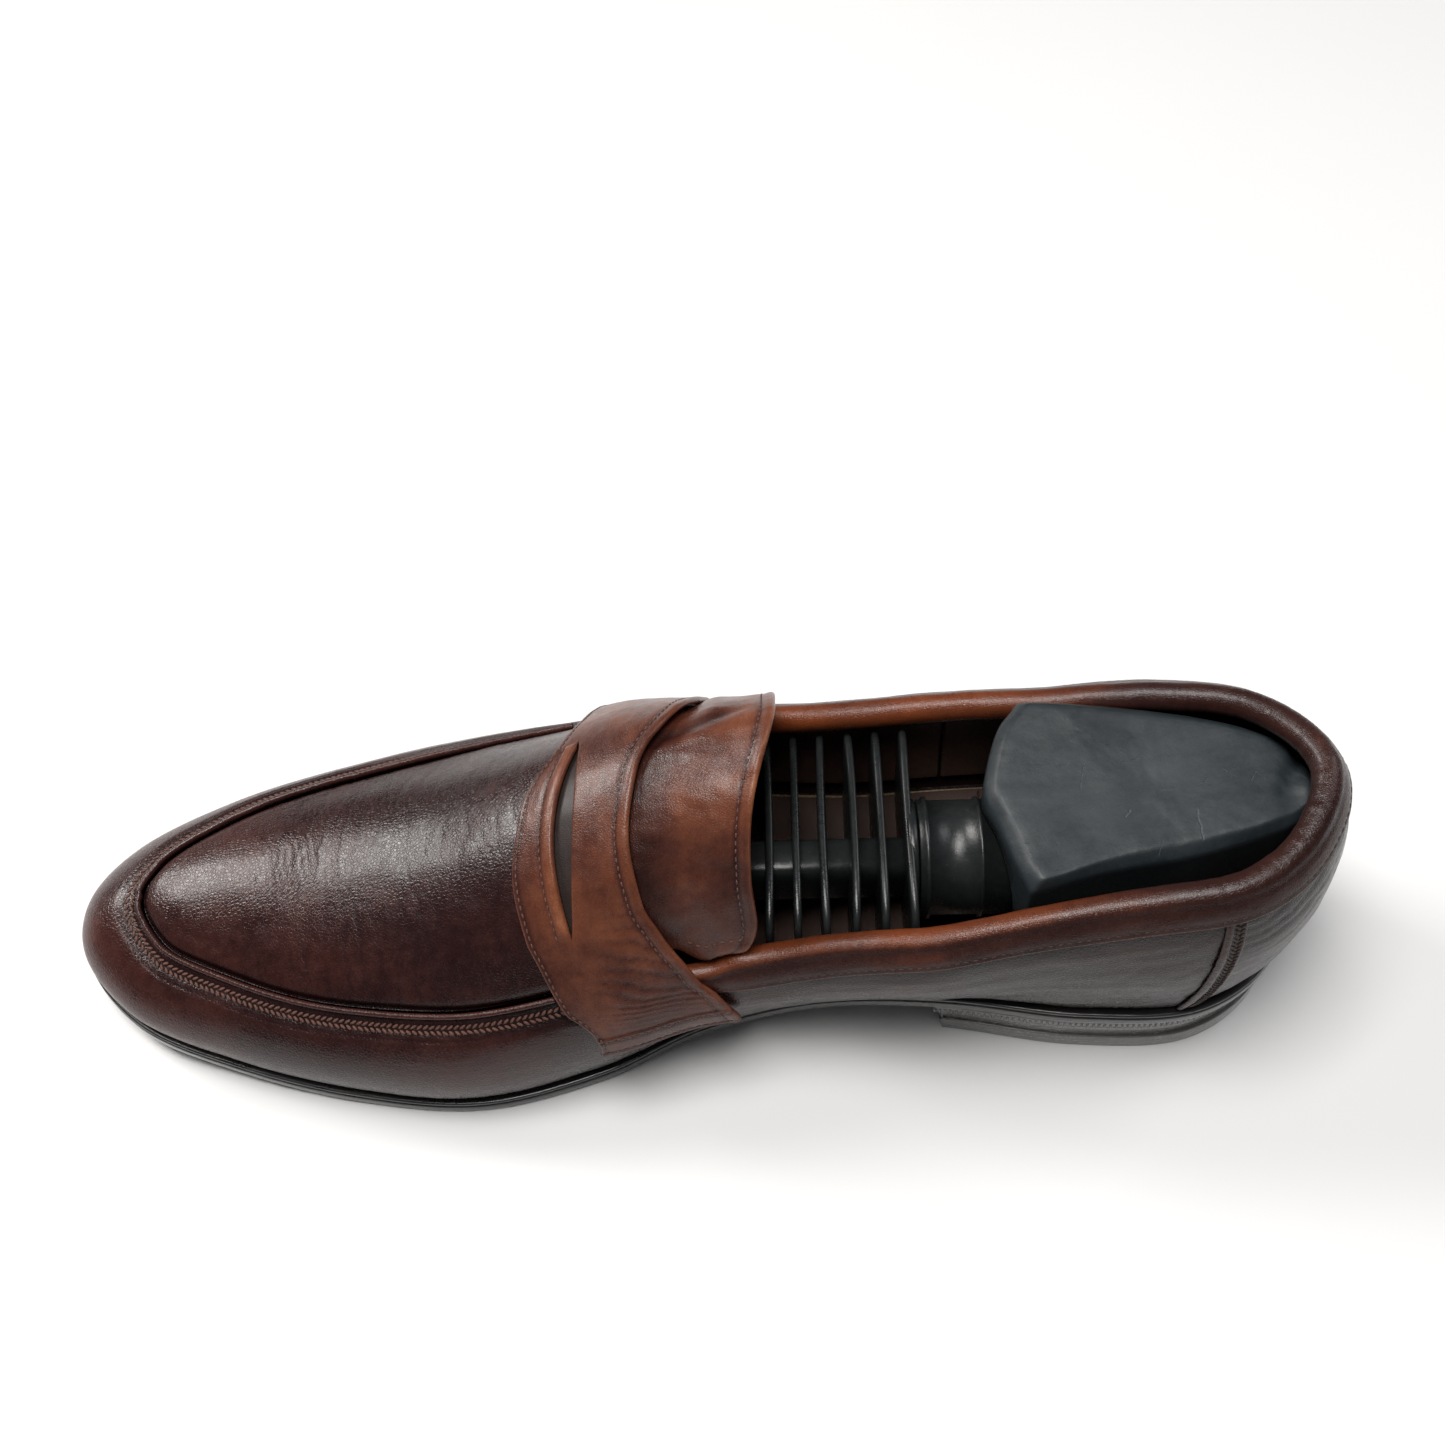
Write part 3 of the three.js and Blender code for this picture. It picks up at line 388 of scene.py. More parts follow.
def stations(length, spacing, radius, butted=()):
    """Steps across a panel and its fullness there; a butted end (0 or 1) stays square."""
    at = edge_steps(length, spacing, radius)
    first, last = at, length - at
    if 0 in butted:
        at = np.insert(at, 1, 0.02)
        first, last = np.where(at > 0, length, 0), length - at
    if 1 in butted:
        at = np.insert(at, -1, length - 0.02)
        last = np.where(at < length, length, 0)
        first = np.where(at > 0, length, 0) if 0 in butted else at
    return at, fullness(np.minimum(first, last), radius)


class Panel:
    """Leather panel laid on a face; face(u, v) takes shares from 0 to 1."""

    def __init__(self, name, face, size, layers, look, spacing=0.6, radius=EDGE_ROUND,
                 butted=(), plum=None):
        self.u, fill_u = stations(size[0], spacing, radius, butted)
        self.v, fill_v = stations(size[1], spacing, radius)
        fill = fill_u[:, None] * fill_v[None]
        self.u, self.v = self.u / size[0], self.v / size[1]
        across, along = np.meshgrid(self.u, self.v, indexing="ij")
        base, lie, info = face(across, along)
        relief, painted_shade_and_tone = look(base, info)
        marks = {"lie": np.stack([*lie, np.zeros_like(lie[0])], -1), "painted_shade_and_tone": painted_shade_and_tone}
        if plum:
            marks["plum"] = plum(base)
        self.obj, self.grid, self.out = two_sided(name, base, layers, fill, relief, marks)
        if butted:
            self.obj.data.set_sharp_from_angle(angle=math.radians(60))

    def row(self, u, v, lift=0.0):
        """Points and outward normals on the finished surface along a line of shares."""
        u, v = np.broadcast_arrays(np.asarray(u, float), v)
        i = np.clip(np.searchsorted(self.u, u) - 1, 0, len(self.u) - 2)
        j = np.clip(np.searchsorted(self.v, v) - 1, 0, len(self.v) - 2)
        a = ((u - self.u[i]) / (self.u[i + 1] - self.u[i]))[..., None]
        b = ((v - self.v[j]) / (self.v[j + 1] - self.v[j]))[..., None]

        def blend(grid):
            return mix(mix(grid[i, j], grid[i + 1, j], a),
                       mix(grid[i, j + 1], grid[i + 1, j + 1], a), b)
        out = blend(self.out)
        return blend(self.grid) + out * lift, out


def finish_piece(obj, body, slot, material, *nodes):
    """Gives a finished piece its material and its body, and hides the CAD nodes that it stands for.
    """
    obj.data.materials.clear()
    obj.data.materials.append(material)
    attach(obj, body)
    if nodes:
        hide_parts(*nodes)
    return obj


# ------------------------------------------------------------------ materials
def add_node(tree, kind, inputs, **settings):
    """New node whose inputs are linked from sockets or set to values."""
    node = tree.nodes.new(kind)
    for key, value in settings.items():
        setattr(node, key, value)
    for key, value in inputs.items():
        if isinstance(value, bpy.types.NodeSocket):
            tree.links.new(value, node.inputs[key])
        else:
            node.inputs[key].default_value = value
    return node


class Finish:
    """Procedural material: a Principled surface and the nodes that feed it."""

    def __init__(self, name, **numbers):
        self.material = bpy.data.materials.new(name)
        self.material.use_nodes = True
        self.tree = self.material.node_tree
        self.shader = self.tree.nodes["Principled BSDF"]
        for key, value in numbers.items():
            self.shader.inputs[key.replace("_", " ")].default_value = value
        place = self.add("ShaderNodeTexCoord").outputs["Object"]
        self.place = self.add("ShaderNodeMapping", {"Vector": place, "Scale": (1000,) * 3}).outputs[0]

    def add(self, kind, inputs=None, **settings):
        return add_node(self.tree, kind, inputs or {}, **settings)

    def calc(self, operation, a, b=0.0, c=0.0):
        node = self.add("ShaderNodeMath", {0: a, 1: b, 2: c}, operation=operation)
        return node.outputs[0]

    def total(self, *terms):
        """Sum of terms, each a socket or number, or a (socket, factor) pair."""
        result = None
        for term in terms:
            term = self.calc("MULTIPLY", *term) if isinstance(term, tuple) else term
            result = term if result is None else self.calc("ADD", result, term)
        return result

    def marked(self, name, field="Fac"):
        return self.add("ShaderNodeAttribute", attribute_name=name).outputs[field]

    def stretched(self, vector, scale, turn=0.0):
        return self.add("ShaderNodeMapping", {
            "Vector": vector, "Scale": scale, "Rotation": (0, 0, turn)}).outputs[0]

    def noise(self, scale, detail=3.0, vector=None, roughness=0.5, distortion=0.0):
        """Noise centred on 0."""
        node = self.add("ShaderNodeTexNoise", {
            "Vector": vector or self.place, "Scale": scale, "Detail": detail,
            "Roughness": roughness, "Distortion": distortion})
        return self.calc("SUBTRACT", node.outputs["Fac"], 0.5)

    def pebbles(self, size, vector=None):
        """Rounded grain: 0 in the furrows and 1 on the pebbles."""
        node = self.add("ShaderNodeTexVoronoi", {
            "Vector": vector or self.place, "Scale": 1 / size}, feature="DISTANCE_TO_EDGE")
        return self.add("ShaderNodeMapRange", {
            "Value": node.outputs["Distance"], "From Max": 0.28},
            interpolation_type="SMOOTHSTEP").outputs[0]

    def between(self, value, low, high):
        """Soft step of a value, 0 at low and 1 at high."""
        return self.add("ShaderNodeMapRange", {
            "Value": value, "From Min": low, "From Max": high},
            interpolation_type="SMOOTHSTEP").outputs[0]

    def ramp(self, factor, *stops):
        node = self.add("ShaderNodeValToRGB", {"Fac": factor})
        points = node.color_ramp.elements
        while len(points) < len(stops):
            points.new(0.5)
        for point, (at, colour) in zip(points, stops):
            point.position = at
            point.color = (*colour, 1)
        return node.outputs["Color"]

    def colour(self, socket):
        self.tree.links.new(socket, self.shader.inputs["Base Color"])

    def roughness(self, middle, *terms):
        value = self.total(middle, *terms)
        held = self.add("ShaderNodeClamp", {"Value": value, "Min": 0.12, "Max": 1.0}).outputs[0]
        self.tree.links.new(held, self.shader.inputs["Roughness"])

    def bump(self, height):
        """Height in millimetres."""
        node = self.add("ShaderNodeBump", {"Height": height, "Strength": 1.0, "Distance": 0.001})
        self.tree.links.new(node.outputs[0], self.shader.inputs["Normal"])


def leather(name, shades, grain, grain_depth, streak_depth, gloss, contrast=1.0, plum=None):
    """Burnished calf: clouds of dye, furrowed grain and soft streaks that follow the panel."""
    f = Finish(name, Coat_Weight=0.1, Coat_Roughness=0.2, IOR=1.4)
    lie = f.marked("lie", "Vector")
    painted_shade_and_tone = f.marked("painted_shade_and_tone")
    cloud = f.noise(0.035, 4.0, roughness=0.6)
    mottle = f.noise(0.35, 4.0, roughness=0.65)
    speck = f.noise(2.6, 2.0)
    streak = f.noise(1.0, 4.0, f.stretched(lie, (0.09, 0.75, 1)), 0.6, 0.6)
    pebble = f.pebbles(grain)
    stops = (0.0, 0.35, 0.68, 1.0)
    # The per-point colour shift read here holds each piece's own tone together with its painted shade
    # and painted highlights.
    level = f.total(0.42, painted_shade_and_tone, (cloud, 0.8 * contrast), (mottle, 0.3 * contrast),
                    (speck, 0.12), (streak, 0.12 * contrast), (pebble, 0.06))
    dye = f.ramp(level, *zip(stops, shades))
    if plum:
        turned = f.ramp(level, *zip(stops, plum))
        dye = f.add("ShaderNodeMix", {0: f.marked("plum"), 6: dye, 7: turned},
                    data_type="RGBA").outputs[2]
    f.colour(dye)
    f.roughness(gloss, (mottle, 0.3), (pebble, -0.06), (speck, 0.1), (cloud, 0.2))
    fine = f.noise(5.0, 3.0)
    f.bump(f.total((pebble, grain_depth), (streak, streak_depth), (fine, 0.02),
                   (mottle, 0.05)))
    return f.material


def upper_leather(name):
    """Calf of the vamp and quarters: burgundy at the toe, greyer plum towards the heel."""
    return leather(name, (
        (0.006, 0.0020, 0.0019), (0.0165, 0.0044, 0.0040), (0.048, 0.0125, 0.0092),
        (0.13, 0.042, 0.026)), 0.8, 0.035, 0.06, 0.32, plum=(
        (0.0034, 0.0022, 0.0022), (0.0085, 0.0042, 0.0040), (0.022, 0.0098, 0.0086),
        (0.08, 0.034, 0.026)))


def strap_leather():
    return leather("strap_chestnut_calf", (
        (0.020, 0.0056, 0.0042), (0.062, 0.0175, 0.0102), (0.145, 0.044, 0.0200),
        (0.31, 0.115, 0.052)), 0.6, 0.025, 0.08, 0.36, 1.1)


def collar_leather():
    return leather("collar_cognac_calf", (
        (0.010, 0.0040, 0.0038), (0.030, 0.0090, 0.0064), (0.145, 0.034, 0.0095),
        (0.30, 0.088, 0.026)), 0.5, 0.03, 0.04, 0.34, 0.5)


def lining_leather():
    return leather("lining_brown_kid", (
        (0.012, 0.007, 0.006), (0.03, 0.016, 0.012), (0.06, 0.03, 0.02), (0.1, 0.055, 0.035)),
        0.45, 0.02, 0.08, 0.6)


def thread(name, colour, worn):
    f = Finish(name, IOR=1.5)
    twist = f.noise(3.5, 2.0)
    f.colour(f.ramp(f.total(0.5, (twist, 1.4)), (0.2, colour), (0.9, worn)))
    f.roughness(0.62, (twist, 0.3))
    f.bump(f.total((twist, 0.1), (f.noise(9.0, 1.0), 0.05)))
    return f.material


def edge_ink(name, dark, light, gloss):
    """Inked leather edge: fine level lines, scuffs and a soft shine."""
    f = Finish(name, Coat_Weight=0.8, Coat_Roughness=0.14)
    lines = f.noise(1.0, 3.0, f.stretched(f.place, (0.02, 0.02, 2.4)))
    scuff = f.noise(0.22, 5.0, roughness=0.7)
    speck = f.noise(2.2, 2.0)
    worn = f.between(f.total(scuff, (lines, 0.4)), 0.1, 0.32)
    f.colour(f.ramp(f.total((worn, 0.75), (speck, 0.3), 0.1), (0.0, dark), (1.0, light)))
    f.roughness(gloss, (worn, 0.15), (speck, 0.1), (lines, 0.15))
    f.bump(f.total((lines, 0.14), (scuff, 0.16), (speck, 0.04)))
    return f.material


def heel_rubber():
    f = Finish("heel_rubber")
    dust = f.noise(0.3, 5.0, roughness=0.7)
    fine = f.noise(3.0, 2.0)
    f.colour(f.ramp(f.total(0.45, (dust, 1.2), (fine, 0.2)),
                    (0.0, (0.010, 0.010, 0.010)), (1.0, (0.045, 0.043, 0.04))))
    f.roughness(0.62, (dust, 0.4))
    f.bump(f.total((fine, 0.08), (dust, 0.1)))
    return f.material


def tread_leather():
    """Underside of the sole: stained tan leather, scraped where it meets the ground."""
    f = Finish("tread_leather", Coat_Weight=0.1, Coat_Roughness=0.4)
    cloud = f.noise(0.03, 5.0, roughness=0.6)
    grit = f.noise(1.6, 4.0, roughness=0.7)
    scrape = f.noise(1.0, 3.0, f.stretched(f.place, (0.06, 1.1, 1), 0.2))
    f.colour(f.ramp(f.total(0.4, (cloud, 1.6), (grit, 0.4), (scrape, 0.4)),
                    (0.0, (0.012, 0.010, 0.009)), (0.5, (0.035, 0.024, 0.018)),
                    (1.0, (0.12, 0.08, 0.05))))
    f.roughness(0.58, (grit, 0.3), (scrape, 0.3))
    f.bump(f.total((grit, 0.12), (scrape, 0.14)))
    return f.material


# Scratches on the heel block: x, y, angle, length and width.
SCRATCHES = [
    (88, 6, 1.35, 7, 0.16), (84, 9, 0.25, 3, 0.12), (112, -6, 1.62, 8, 0.3),
    (106, 3, 0.05, 5, 0.12), (114, 4, 0.5, 3, 0.14), (120, 6, -0.6, 4, 0.12),
    (97, -3, 0.9, 2.6, 0.35), (92, -10, -0.4, 5, 0.1), (99, 10, 0.15, 4, 0.1),
    (125, 5, 0.8, 3, 0.16), (80, -9, -0.9, 3, 0.12), (103, -11, 1.2, 4, 0.1),
]


def tree_plastic(name, dark, light, gloss, scratches=()):
    """Moulded charcoal plastic with a fine sparkle, rubbed patches and scratches."""
    f = Finish(name, IOR=1.47)
    haze = f.noise(0.06, 4.0)
    rub = f.noise(0.5, 5.0, roughness=0.7)
    fine = f.noise(6.0, 2.0)
    hair = f.noise(1.0, 2.0, f.stretched(f.place, (0.12, 5.5, 1), 0.7))
    hair = f.between(hair, 0.17, 0.3)
    marks = f.calc("MULTIPLY", hair, f.between(rub, 0.0, 0.25))
    for x, y, turn, length, width in scratches:
        middle = (x - BOX_CENTRE[0], y - BOX_CENTRE[1], 0)
        local = f.add("ShaderNodeVectorRotate", {
            "Vector": f.place, "Center": middle, "Angle": -turn})
        local = f.add("ShaderNodeVectorMath", {
            0: local.outputs[0], 1: middle}, operation="SUBTRACT").outputs[0]
        part = f.add("ShaderNodeSeparateXYZ", {"Vector": local})
        bent = f.total(part.outputs[1], (rub, 1.6))
        line = f.calc("MULTIPLY",
                      f.between(f.calc("ABSOLUTE", bent), width, width * 0.2),
                      f.between(f.calc("ABSOLUTE", part.outputs[0]), length / 2, length / 3))
        marks = f.calc("MAXIMUM", marks, f.calc("MULTIPLY", line, 0.9))
    f.colour(f.ramp(f.total(0.3, (haze, 0.6), (rub, 0.35), (fine, 0.12), (marks, 0.75)),
                    (0.0, dark), (0.55, tuple(mix(np.array(dark), np.array(light), 0.35))),
                    (1.0, light)))
    f.roughness(gloss, (rub, 0.22), (haze, 0.25), (marks, 0.2), (fine, 0.08))
    f.bump(f.total((rub, 0.07), (fine, 0.012), (marks, -0.1)))
    return f.material


def drawn_steel():
    f = Finish("bright_steel", Metallic=1.0)
    lines = f.noise(1.0, 3.0, f.stretched(f.place, (6.0, 0.6, 0.6)))
    f.colour(f.ramp(f.total(0.5, (lines, 1.0)), (0.0, (0.42, 0.42, 0.43)),
                    (1.0, (0.7, 0.7, 0.7))))
    f.roughness(0.3, (lines, 0.3))
    f.bump(f.total((lines, 0.05)))
    return f.material


def pressed_board(name, dark, light, size):
    f = Finish(name)
    grain = f.noise(size, 5.0, roughness=0.75)
    crumb = f.pebbles(1.6 / size)
    f.colour(f.ramp(f.total(0.45, (grain, 1.2), (crumb, 0.15)), (0.0, dark), (1.0, light)))
    f.roughness(0.88, (grain, 0.3))
    f.bump(f.total((grain, 0.3), (crumb, 0.12)))
    return f.material


def studio_floor():
    f = Finish("pale_floor")
    haze = f.noise(0.004, 2.0)
    f.colour(f.ramp(f.total(0.5, (haze, 0.4)), (0.0, (0.74, 0.74, 0.74)),
                    (1.0, (0.78, 0.78, 0.78))))
    f.roughness(0.75, (haze, 0.1))
    return f.material


VAMP = upper_leather("vamp_calf")
QUARTER = upper_leather("quarter_calf")
CHESTNUT = strap_leather()
COGNAC = collar_leather()
KID = lining_leather()
DARK_THREAD = thread("dark_thread", (0.014, 0.006, 0.005), (0.06, 0.028, 0.02))
BROWN_THREAD = thread("brown_thread", (0.05, 0.017, 0.011), (0.17, 0.07, 0.048))
SOLE_INK = edge_ink("black_edge_ink", (0.006, 0.0055, 0.0052), (0.07, 0.067, 0.064), 0.3)
# The heel and lift edges get pale grey colours: painted reflection on what are dark glossy edges.
HEEL_INK_PAINTED_REFLECTION = edge_ink("heel_edge_ink_painted_reflection", (0.085, 0.083, 0.08), (0.32, 0.31, 0.30), 0.24)
LIFT_INK_PAINTED_REFLECTION = edge_ink("lift_edge_ink_painted_reflection", (0.085, 0.083, 0.08), (0.32, 0.31, 0.30), 0.26)
RUBBER = heel_rubber()
TREAD = tread_leather()
CHARCOAL = tree_plastic("charcoal_plastic", (0.006, 0.0095, 0.0115), (0.05, 0.064, 0.072), 0.45,
                        SCRATCHES)
BLACK_PLASTIC = tree_plastic("black_plastic", (0.0035, 0.0045, 0.0045), (0.04, 0.046, 0.048),
                             0.3)
STEEL = drawn_steel()
BOARD = pressed_board("insole_fibreboard", (0.10, 0.065, 0.035), (0.30, 0.22, 0.14), 0.8)
CORK = pressed_board("ground_cork", (0.12, 0.06, 0.025), (0.42, 0.27, 0.14), 0.5)
FLOOR = studio_floor()


# ------------------------------------------------------------------ stitches and other repeats
def repeat_tree():
    """Geometry Nodes: rounded marks laid along lines, each turned to the surface under it."""
    tree = bpy.data.node_groups.new("marks_along_lines", "GeometryNodeTree")
    face = tree.interface
    face.new_socket("Geometry", in_out="INPUT", socket_type="NodeSocketGeometry")
    for name, kind in (("Pitch", "NodeSocketFloat"), ("Length", "NodeSocketFloat"),
                       ("Width", "NodeSocketFloat"), ("Height", "NodeSocketFloat"),
                       ("Seed", "NodeSocketInt"), ("Material", "NodeSocketMaterial")):
        face.new_socket(name, in_out="INPUT", socket_type=kind)
    face.new_socket("Geometry", in_out="OUTPUT", socket_type="NodeSocketGeometry")
    given = tree.nodes.new("NodeGroupInput").outputs
    result = tree.nodes.new("NodeGroupOutput").inputs[0]

    def add(kind, inputs, **settings):
        return add_node(tree, kind, inputs, **settings)

    def named(name, kind):
        return add("GeometryNodeInputNamedAttribute", {"Name": name}, data_type=kind).outputs[0]

    curve = add("GeometryNodeMeshToCurve", {"Mesh": given["Geometry"]}).outputs[0]
    points = add("GeometryNodeCurveToPoints", {"Curve": curve, "Length": given["Pitch"]},
                 mode="LENGTH")
    along = add("FunctionNodeAlignRotationToVector", {"Vector": points.outputs["Tangent"]},
                axis="X").outputs[0]
    facing = add("FunctionNodeAlignRotationToVector", {
        "Rotation": along, "Vector": named("out", "FLOAT_VECTOR")},
        axis="Z", pivot_axis="X").outputs[0]
    jitter = add("FunctionNodeRandomValue", {2: -0.09, 3: 0.09, "Seed": given["Seed"]},
                 data_type="FLOAT")
    slant = add("ShaderNodeMath", {0: named("slant", "FLOAT"), 1: jitter.outputs[1]},
                operation="ADD").outputs[0]
    turn = add("FunctionNodeAxisAngleToRotation", {"Axis": (0, 0, 1), "Angle": slant}).outputs[0]
    turned = add("FunctionNodeRotateRotation", {"Rotation": facing, "Rotate By": turn},
                 rotation_space="LOCAL").outputs[0]
    ball = add("GeometryNodeMeshUVSphere", {"Segments": 8, "Rings": 5, "Radius": 0.5})
    size = add("ShaderNodeCombineXYZ", {
        0: given["Length"], 1: given["Width"], 2: given["Height"]}).outputs[0]
    laid = add("GeometryNodeInstanceOnPoints", {
        "Points": points.outputs["Points"], "Instance": ball.outputs[0], "Rotation": turned,
        "Scale": size}).outputs[0]
    real = add("GeometryNodeRealizeInstances", {"Geometry": laid}).outputs[0]
    soft = add("GeometryNodeSetShadeSmooth", {"Geometry": real}).outputs[0]
    done = add("GeometryNodeSetMaterial", {"Geometry": soft, "Material": given["Material"]})
    tree.links.new(done.outputs[0], result)
    return tree


REPEAT = repeat_tree()


def repeated(name, rows, pitch, size, material, seed):
    """Mesh of marks along rows of (points, outward normals, slant), in drawing millimetres."""
    points = np.concatenate([r[0] for r in rows])
    ends = np.cumsum([len(r[0]) for r in rows])
    edges = [(k, k + 1) for k in range(len(points) - 1) if k + 1 not in ends]
    line = bpy.data.meshes.new(name + "_lines")
    line.from_pydata(metres(points).tolist(), edges, [])
    line.attributes.new("out", "FLOAT_VECTOR", "POINT").data.foreach_set(
        "vector", np.concatenate([r[1] for r in rows]).ravel())
    line.attributes.new("slant", "FLOAT", "POINT").data.foreach_set(
        "value", np.concatenate([np.full(len(r[0]), r[2]) for r in rows]))
    guide = placed(name + "_guide", line)
    modifier = guide.modifiers.new("marks", "NODES")
    modifier.node_group = REPEAT
    values = {"Pitch": pitch / 1000, "Length": size[0] / 1000, "Width": size[1] / 1000,
              "Height": size[2] / 1000, "Seed": seed, "Material": material}
    for item in REPEAT.interface.items_tree:
        if item.in_out == "INPUT" and item.name in values:
            modifier[item.identifier] = values[item.name]
    view = bpy.context.evaluated_depsgraph_get()
    mesh = bpy.data.meshes.new_from_object(guide.evaluated_get(view))
    bpy.data.objects.remove(guide)
    return placed(name, mesh)


# ------------------------------------------------------------------ sole and heel
def slab(name, near, far, profile, across=16, lean=0.0, crown=0.0):
    """Solid plate between matching edge points; profile rows are (inset, share of the
    sole's height, height), from the middle of its underside round to its top."""
    opened = np.linalg.norm(near[0] - far[0]) > 1e-6
    n = len(near)
    front = [mix(far[0], near[0], k / across) for k in range(1, across)] if opened else []
    back = far[-2::-1] if opened else far[-2:0:-1]
    ring = np.concatenate([near, back] + ([front] if opened else []))
    ahead = np.roll(ring, -1, 0) - np.roll(ring, 1, 0)
    out = np.stack([ahead[:, 1], -ahead[:, 0]], -1)
    out /= np.linalg.norm(out, axis=1)[:, None]
    if (out * (ring - ring.mean(0))).sum() < 0:
        out = -out
    back_x, front_x = ring[:, 0].max(), ring[:, 0].min()

    def raised(flat, share, height, bulge=0.0):
        z = share * sole_z(flat[:, 0]) + height + bulge
        x = flat[:, 0] - lean * z * (back_x - flat[:, 0]) / (back_x - front_x)
        return np.stack([x, flat[:, 1], z], -1)
    size = len(ring)
    points = [raised(ring - out * inset, share, height) for inset, share, height in profile]
    ids = np.arange(size * len(profile)).reshape(len(profile), size)
    faces = quads(np.concatenate([ids, ids[:, :1]], 1))
    near_id = np.arange(n)
    far_id = np.concatenate([[0], np.arange(size - 1, n - 1, -1), [n - 1]]) if not opened \
        else np.arange(2 * n - 2, n - 2, -1)
    total = size * len(profile)
    for level, (inset, share, height) in ((0, profile[0]), (len(profile) - 1, profile[-1])):
        flat = ring - out * inset
        k = np.linspace(0, 1, across + 1)[None, 1:-1, None]
        inner = mix(flat[near_id][:, None], flat[far_id][:, None], k)
        bulge = crown * np.broadcast_to(4 * k * (1 - k), inner[..., :1].shape).reshape(-1)
        inner_ids = total + np.arange(n * (across - 1)).reshape(n, across - 1)
        points.append(raised(inner.reshape(-1, 2), share, height, bulge if level else 0.0))
        total += n * (across - 1)
        grid = np.concatenate([near_id[:, None], inner_ids, far_id[:, None]], 1)
        grid[:, [0, -1]] += level * size
        if opened:
            grid[0, 1:-1] = level * size + np.arange(size - 1, size - across, -1)
        else:
            grid[0] = grid[0, 0]
        grid[-1] = grid[-1, 0]
        faces += quads(grid)
    return make(name, np.concatenate(points), faces)


def matching_edges(count, front_x=None, inset=0.0):
    """Matching medial and lateral edge points, from the heel's back or a cut line."""
    k = np.arange(count + 1) / count
    if front_x is None:
        k = (1 - np.cos(math.pi * k)) / 2
        sides = k * TOE, 1 - (1 - TOE) * k
    else:
        k = 1 - np.sin(math.pi / 2 * k)
        sides = s_at(front_x, -1) * k, 1 - (1 - s_at(front_x, 1)) * k
    edges = []
    for s in sides:
        point, normal = edge_at(s)
        edges.append(point - normal * inset)
    edges[1][-1] = edges[0][-1]
    if front_x is None:
        edges[1][0] = edges[0][0]
    return edges


def rounded(inset, share, low, high, radius, waist=0.0):
    """Profile of an edge with rounded corners, from under the plate to its top."""
    turn = np.linspace(0, math.pi / 2, 6)
    low_part = [(inset + radius * (1 - math.sin(a)), share[0], low + radius * (1 - math.cos(a)))
                for a in turn]
    high_part = [(inset + radius * (1 - math.cos(a)), share[1],
                  high - radius * (1 - math.sin(a))) for a in turn]
    middle = [(inset + waist, (share[0] + share[1]) / 2, (low + high) / 2)]
    return [(inset + 3, share[0], low)] + low_part + middle + high_part + [
        (inset + 3, share[1], high)]


def show_underside(obj, material):
    """Second material on the faces that look down."""
    obj.data.materials.append(material)
    for face in obj.data.polygons:
        face.material_index = int(face.normal.z < -0.8)


def outsole():
    profile = rounded(0.0, (1, 1), 0.0, 2.8, 0.7, waist=-0.05)
    body = slab("outsole_leather", *matching_edges(260), profile, across=22)
    finish_piece(body, "shoe", "sole", SOLE_INK, "outsole")
    show_underside(body, TREAD)


def rand_strip():
    """Thin strip between sole and upper, with a rounded face and a dark groove under it."""
    count = 520
    s = np.arange(count) / count
    point, normal = edge_at(s)
    a = np.linspace(-math.pi / 2, math.pi / 2, 9)
    profile = [(-LASTING_MARGIN, 3.1), *zip(np.cos(a) * 0.62 - 0.72, 3.68 + 0.56 * np.sin(a)),
               (-LASTING_MARGIN, 4.2)]
    rings = []
    for out, height in profile:
        flat = point + normal * out
        rings.append(np.concatenate([flat, (sole_z(flat[:, 0]) + height)[:, None]], 1))
    ids = np.arange(count * len(profile)).reshape(len(profile), count)
    ids = np.concatenate([ids, ids[:, :1]], 1)
    ids = np.concatenate([ids, ids[:1]])
    obj = make("rand_strip", np.concatenate(rings), quads(ids))
    finish_piece(obj, "shoe", "sole", SOLE_INK, "rand")


def heel():
    """Stacked block with a groove near its top, a rubber lift and a row of wheel marks."""
    edges = matching_edges(110, HEEL_BREAST, 0.7)
    block = slab("heel_stack", *edges, [
        (4, 0, 5.3), (1.3, 0, 5.3), (1.1, 0, 5.35), (1.02, 0, 5.5), (0.65, 0.35, 5.4),
        (0.3, 0.7, 4.0), (0.12, 1, -3.4), (0.1, 1, -3.1), (0.32, 1, -2.95), (0.32, 1, -2.85),
        (0.05, 1, -2.75), (0.0, 1, -0.75), (0.15, 1, -0.45), (0.45, 1, -0.3), (4, 1, -0.3)],
        lean=BREAST_LEAN)
    finish_piece(block, "shoe", "sole", HEEL_INK_PAINTED_REFLECTION, "heel_block")
    lift = slab("heel_rubber_lift", *matching_edges(110, HEEL_BREAST, 1.1),
                rounded(0.0, (0, 0), 0.0, 5.15, 0.35), lean=BREAST_LEAN)
    finish_piece(lift, "shoe", "rubber", LIFT_INK_PAINTED_REFLECTION, "heel_top_piece")
    show_underside(lift, RUBBER)
    near, far = edges
    rows = []
    for edge in (near, far):
        ahead = np.gradient(edge, axis=0)
        out = np.stack([ahead[:, 1], -ahead[:, 0]], -1)
        out *= np.sign((out * (edge - (100, 2))).sum())
        out = np.concatenate([out / np.linalg.norm(out, axis=1)[:, None],
                              np.zeros((len(edge), 1))], 1)
        z = sole_z(edge[:, 0]) - 1.95
        span = (edge[:, 0].max() - edge[:, 0]) / (edge[:, 0].max() - HEEL_BREAST)
        x = edge[:, 0] - BREAST_LEAN * z * span
        rows.append((np.stack([x, edge[:, 1], z], -1) + out * 0.02, out, 0.0))
    ticks = repeated("heel_wheel_marks", rows, 1.3, (0.6, 2.4, 0.75), HEEL_INK_PAINTED_REFLECTION, 3)
    finish_piece(ticks, "shoe", "sole", HEEL_INK_PAINTED_REFLECTION)


